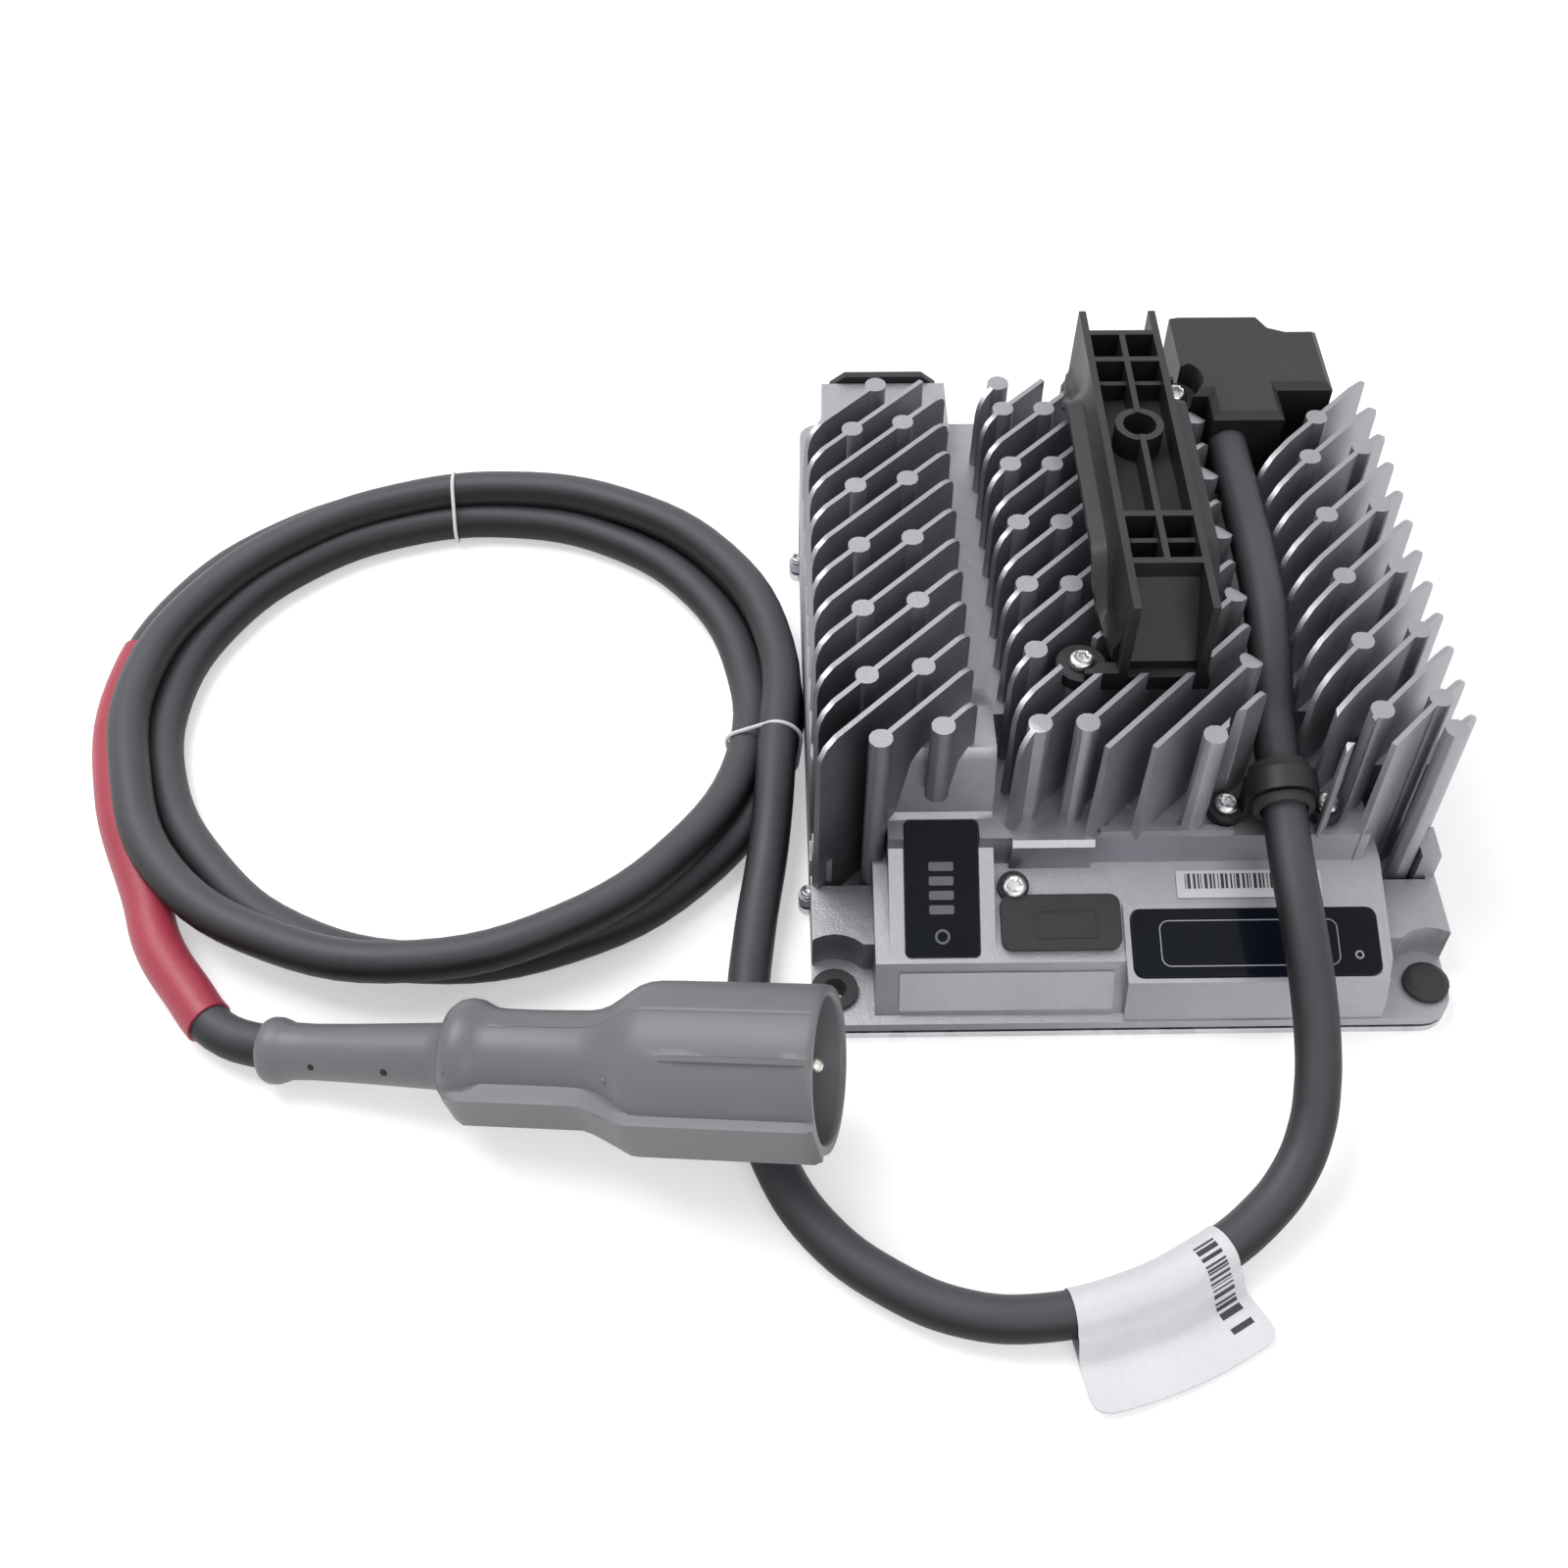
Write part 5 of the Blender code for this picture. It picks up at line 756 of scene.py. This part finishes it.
def tube_on(name, spots, inner, outer, finish):
    """A tube over a stretch of the lead, with square cut ends."""
    rings = []
    worn = outer - 0.0002
    sections = list(crosswise(spots))
    plans = [(sections[0], inner), (sections[0], worn)]
    plans += [(section, outer) for section in sections]
    plans += [(sections[-1], worn), (sections[-1], inner)]
    for (spot, side, up), radius in plans:
        ring = []
        for k in range(32):
            swing = math.pi * k / 16
            ring.append(spot + (side * math.cos(swing) + up * math.sin(swing)) * radius)
        rings.append(ring)
    return rings_to_mesh(name, rings, finish)


sleeve_red, shader, wire = new_finish("shrink_sleeve", 0.4)
stretched = noise(wire, 35.0, 4.0)
dulled = noise(wire, 700.0, 3.0)
stretched.tint((0.31, 0.030, 0.053, 1), (0.42, 0.048, 0.080, 1)).into(shader, "Base Color")
(0.34 + 0.2 * dulled).into(shader, "Roughness")
bumped(wire, dulled + stretched, 0.00008, shader)
tail_start = first_turn + len(coil_route)
sleeve_line = lead_between(tail_start - 4, tail_start + 2, 8)
cut_by_plug_x, cut_by_coil_y = -0.2685, 0.0400
while sleeve_line[-1].x > cut_by_plug_x:
    sleeve_line.pop()
while sleeve_line[0].y > cut_by_coil_y:
    sleeve_line.pop(0)
sleeve_gap, sleeve_wall = 0.00005, 0.0008
sleeve = tube_on("shrink_sleeve", sleeve_line, lead_width / 2 + sleeve_gap,
                 lead_width / 2 + sleeve_wall, sleeve_red)
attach(sleeve, "root")
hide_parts("heat_sleeve")

# Flag label: one strip of white film, wrapped round the lead near the front
# and stuck to itself, so its two ends make a flag that lies on the table.
def flag_line(reach):
    """The strip's middle line across the lead, as (side, up), with its print side out."""
    radius = lead_width / 2 + 0.0004
    upper_layer = 0.0005 - radius
    line = [Vector((-reach, -radius)), Vector((-reach * 0.5, -radius)), Vector((0, -radius))]
    for degrees in range(-75, 166, 15):
        angle = math.radians(degrees)
        line.append(Vector((radius * math.cos(angle), radius * math.sin(angle))))
    start = line[-1]
    for share in (0.2, 0.4, 0.6, 0.8, 1.0):
        ease = share * share * (3 - 2 * share)
        line.append(Vector((start.x - 0.0052 * share - 0.0002,
                            start.y + (upper_layer - start.y) * ease)))
    for share in (0.25, 0.5, 0.75, 1.0):
        line.append(Vector((line[-1].x * (1 - share) - reach * share, upper_layer)))
    return line


def flag_ring(line, thickness):
    """The outline of the film, with a thickness, round its middle line."""
    upper, lower = [], []
    for i, spot in enumerate(line):
        step = line[min(i + 1, len(line) - 1)] - line[max(i - 1, 0)]
        across = Vector((step.y, -step.x)).normalized() * thickness / 2
        upper.append(spot + across)
        lower.append(spot - across)
    return upper + lower[::-1]


travelled = 0.0
flag_start, flag_end = 0.2690, 0.3165
flag_spots = []
near_lead = lead_between(0, first_turn, 30)
for before, spot in zip(near_lead, near_lead[1:]):
    travelled += (spot - before).length
    if flag_start <= travelled <= flag_end:
        flag_spots.append(spot)
flag_sections = list(crosswise(flag_spots))
flag_reach, flag_corner, film_thickness = 0.0255, 0.0045, 0.0003
curl_from, corner_lift = 0.012, 0.0012
last = len(flag_sections) - 1
flag_rings = []
for i, (spot, side, up) in enumerate(flag_sections):
    edge = min(i, last - i) * (flag_end - flag_start) / last
    short = max(0.0, flag_corner - edge)
    reach = flag_reach - flag_corner + math.sqrt(flag_corner ** 2 - short ** 2)
    curl = corner_lift * (i / last) ** 3
    ring = []
    for point in flag_ring(flag_line(reach), film_thickness):
        lift = curl * max(0.0, (-point.x - curl_from) / (flag_reach - curl_from)) ** 2
        ring.append(spot + side * point.x + Vector((0, 0, point.y + lift)))
    flag_rings.append(ring)
flag = rings_to_mesh("flag_film", flag_rings, paper)
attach(flag, "root")
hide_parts("flag_label")
bm = bmesh.new()
bar_starts = []
here = 0.05
for number in range(13):
    thick = 0.022 + 0.016 * ((number * 5) % 3)
    bar_starts.append((here, here + thick))
    here += thick + 0.020 + 0.012 * ((number * 7) % 3)
count = len(flag_line(flag_reach))
first_printed, last_printed = 12, count - 2
ink_clear = 0.00008
for start, end in bar_starts:
    rows = []
    for share in (start, end):
        place_on = first_printed + min(share, 0.999) * (last_printed - first_printed)
        low = int(place_on)
        part = place_on - low
        row = []
        for i in range(4, 12):
            ring = flag_rings[i * last // 48]
            spot = ring[low].lerp(ring[low + 1], part)
            under = ring[2 * count - 1 - low].lerp(ring[2 * count - 2 - low], part)
            row.append(bm.verts.new(spot + (spot - under).normalized() * ink_clear))
        rows.append(row)
    for i in range(7):
        bm.faces.new((rows[0][i], rows[0][i + 1], rows[1][i + 1], rows[1][i]))
bmesh.ops.recalc_face_normals(bm, faces=bm.faces)
flag_bars = object_from("flag_bars", bm, black_ink)
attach(flag_bars, "root")

# Battery plug: grey moulded rubbery plastic over the end of the lead, with a
# beaded boot, a collar, a pull fin that runs on along the barrel, and a deep
# round mouth.  It was moulded in two halves, so a fine seam runs along it.
plug_side = plug_axis.cross(Vector((0, 0, 1))).normalized()
plug_up = plug_side.cross(plug_axis)
plug_frame = Matrix((plug_up, plug_side, plug_axis)).transposed().to_4x4()
plug_frame.translation = plug_tip
plug_grey, shader, wire = new_finish("plug_moulding", 0.42)
satin = noise(wire, 1200.0, 3.0)
sheen = noise(wire, 22.0, 4.0)
(sheen * 0.8 + satin * 0.2).tint((0.110, 0.116, 0.124, 1), (0.165, 0.172, 0.182, 1)).into(
    shader, "Base Color")
(0.34 + 0.18 * sheen).into(shader, "Roughness")
bumped(wire, satin, 0.00004, shader)
plug_profile = [(0.0, 0.0066), (0.0002, 0.0082), (0.0008, 0.0090), (0.0022, 0.0096),
                (0.0045, 0.0096), (0.0065, 0.0090), (0.0085, 0.0082), (0.0150, 0.0080),
                (0.0270, 0.0083), (0.0400, 0.0088), (0.0520, 0.0093), (0.0556, 0.0096),
                (0.0568, 0.0106), (0.0575, 0.0128), (0.0585, 0.0146), (0.0605, 0.0160),
                (0.0630, 0.0165), (0.0655, 0.0161), (0.0678, 0.0150), (0.0700, 0.0141),
                (0.0730, 0.0138), (0.0800, 0.0137), (0.0900, 0.0138), (0.0980, 0.0140),
                (0.1010, 0.0145), (0.1040, 0.0157), (0.1070, 0.0176), (0.1100, 0.0197),
                (0.1125, 0.0213), (0.1150, 0.0222), (0.1180, 0.0226), (0.1240, 0.0227),
                (0.1300, 0.0227), (0.1400, 0.0227), (0.1500, 0.0227), (0.1560, 0.0227),
                (0.1600, 0.0227), (0.1630, 0.0227), (0.1645, 0.0225), (0.1650, 0.0222)]
plug_angles = sorted(set(range(0, 360, 5)) | {25.2, 26, 27, 28, 29, 60.4, 61.4, 62.4,
                                              67, 68, 69, 69.8, 71, 109, 110.2, 111, 112, 113,
                                              117.6, 118.6, 119.6, 350.6, 351.4, 352.2, 353.0})


def swell(value, low, high, ramp):
    """1 between low and high, falling to 0 over the ramp outside them."""
    near = min(value - low, high - value)
    return min(1.0, max(0.0, 1 + near / ramp))


def plug_ring(radius, s):
    """A round ring at a distance s from the plug's tip, at the plug's own angles."""
    return [(radius * math.cos(math.radians(a)), radius * math.sin(math.radians(a)), s)
            for a in plug_angles]


sliver = 0.0002
plug_rings = [plug_ring(sliver, 0.0)]
fin_start, past_mouth = 0.0580, 0.2
for s, base_radius in plug_profile:
    ring = []
    for degrees in plug_angles:
        radius = base_radius
        angle = math.radians(degrees)
        if s > fin_start and 45 < degrees < 135:
            widening = swell(s, 0.1130, past_mouth, 0.014)
            fin_half, fin_top = 0.0066 + 0.0018 * widening, 0.0178 + 0.0062 * widening
            fin_top -= 0.0040 * (1 - swell(s, 0.0620, past_mouth, 0.004))
            off = abs(angle - math.pi / 2)
            square = fin_top / math.cos(off)
            if off > math.atan2(fin_half, fin_top):
                square = fin_half / math.sin(off)
            radius = max(radius, square - 0.0008 * (s > 0.1640))
        radius += 0.0010 * swell(s, 0.1265, 0.1610, 0.002) * swell(degrees, 26, 29, 0.9)
        radius -= 0.0002 * swell(s, 0.0720, 0.1640, 0.002) * swell(degrees, 351.4, 352.2, 0.8)
        ring.append((radius * math.cos(angle), radius * math.sin(angle), s))
    plug_rings.append(ring)
for s, radius in ((0.1650, 0.0207), (0.1645, 0.0200), (0.1635, 0.01965), (0.1500, 0.01965),
                  (0.1310, 0.01960), (0.1294, 0.0190), (0.1290, 0.0180), (0.1290, sliver)):
    plug_rings.append(plug_ring(radius, s))
plug = rings_to_mesh("plug_moulding", plug_rings, plug_grey)
plug.data.transform(plug_frame)
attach(plug, "root")
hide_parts("battery_plug")
pin_circle = 0.0105
for number in (1, 2, 3):
    angle = math.radians(97 + 120 * (number - 1))
    pin = rings_to_mesh(f"plug_pin_{number}", [
        circle(0.0002, 0.1242), circle(0.0024, 0.1242), circle(0.0024, 0.1580),
        circle(0.0023, 0.1590), circle(0.0019, 0.1600), circle(0.0012, 0.1607),
        circle(0.0001, 0.1610)], plated)
    pin.data.transform(plug_frame @ Matrix.Translation((pin_circle * math.cos(angle),
                                                        pin_circle * math.sin(angle), 0)))
    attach(pin, "root")
    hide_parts(f"plug_contact_{number}")

# Moulding marks on the plug: two short vent slots in the boot and two small
# ejector marks, where pins held the lead and the contacts in the mould.
# The vent slots are drawn as flat black patches on the boot: painted shade for the dark inside
# of each slot.
slot_black, shader, wire = new_finish("vent_shadow", 0.8)
shadow_mottle = noise(wire, 800.0, 2.0)
shadow_mottle.tint((0.006, 0.006, 0.006, 1), (0.02, 0.02, 0.02, 1)).into(shader, "Base Color")
(0.7 + 0.2 * shadow_mottle).into(shader, "Roughness")
sunk = 0.0006
for number, (s, degrees, radius, size, finish) in enumerate((
        (0.0175, 64, 0.00805, 0.0010, slot_black), (0.0400, 66, 0.0088, 0.0011, slot_black),
        (0.0612, 45, 0.0162, 0.0008, plug_grey), (0.1080, 46, 0.0186, 0.0009, plug_grey)), 1):
    angle = math.radians(degrees)
    out = Vector((math.cos(angle), math.sin(angle), 0))
    stand = Matrix.Translation(out * (radius - sunk) + Vector((0, 0, s)))
    seat = plug_frame @ stand @ out.to_track_quat("Z", "Y").to_matrix().to_4x4()
    dome = [circle(0.0001, 0), circle(size, 0), circle(size, 0.0005), circle(size * 0.8, 0.0008),
            circle(size * 0.45, 0.00095), circle(0.0001, 0.001)]
    if finish is slot_black:
        dome = [circle(0.0001, 0), circle(size, 0), circle(size, 0.00064),
                circle(size * 0.9, 0.00072), circle(0.0001, 0.00074)]
    mark = rings_to_mesh(f"plug_mark_{number}", dome, finish)
    mark.data.transform(seat)
    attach(mark, "root")

bpy.context.scene.view_settings.view_transform = "Standard"
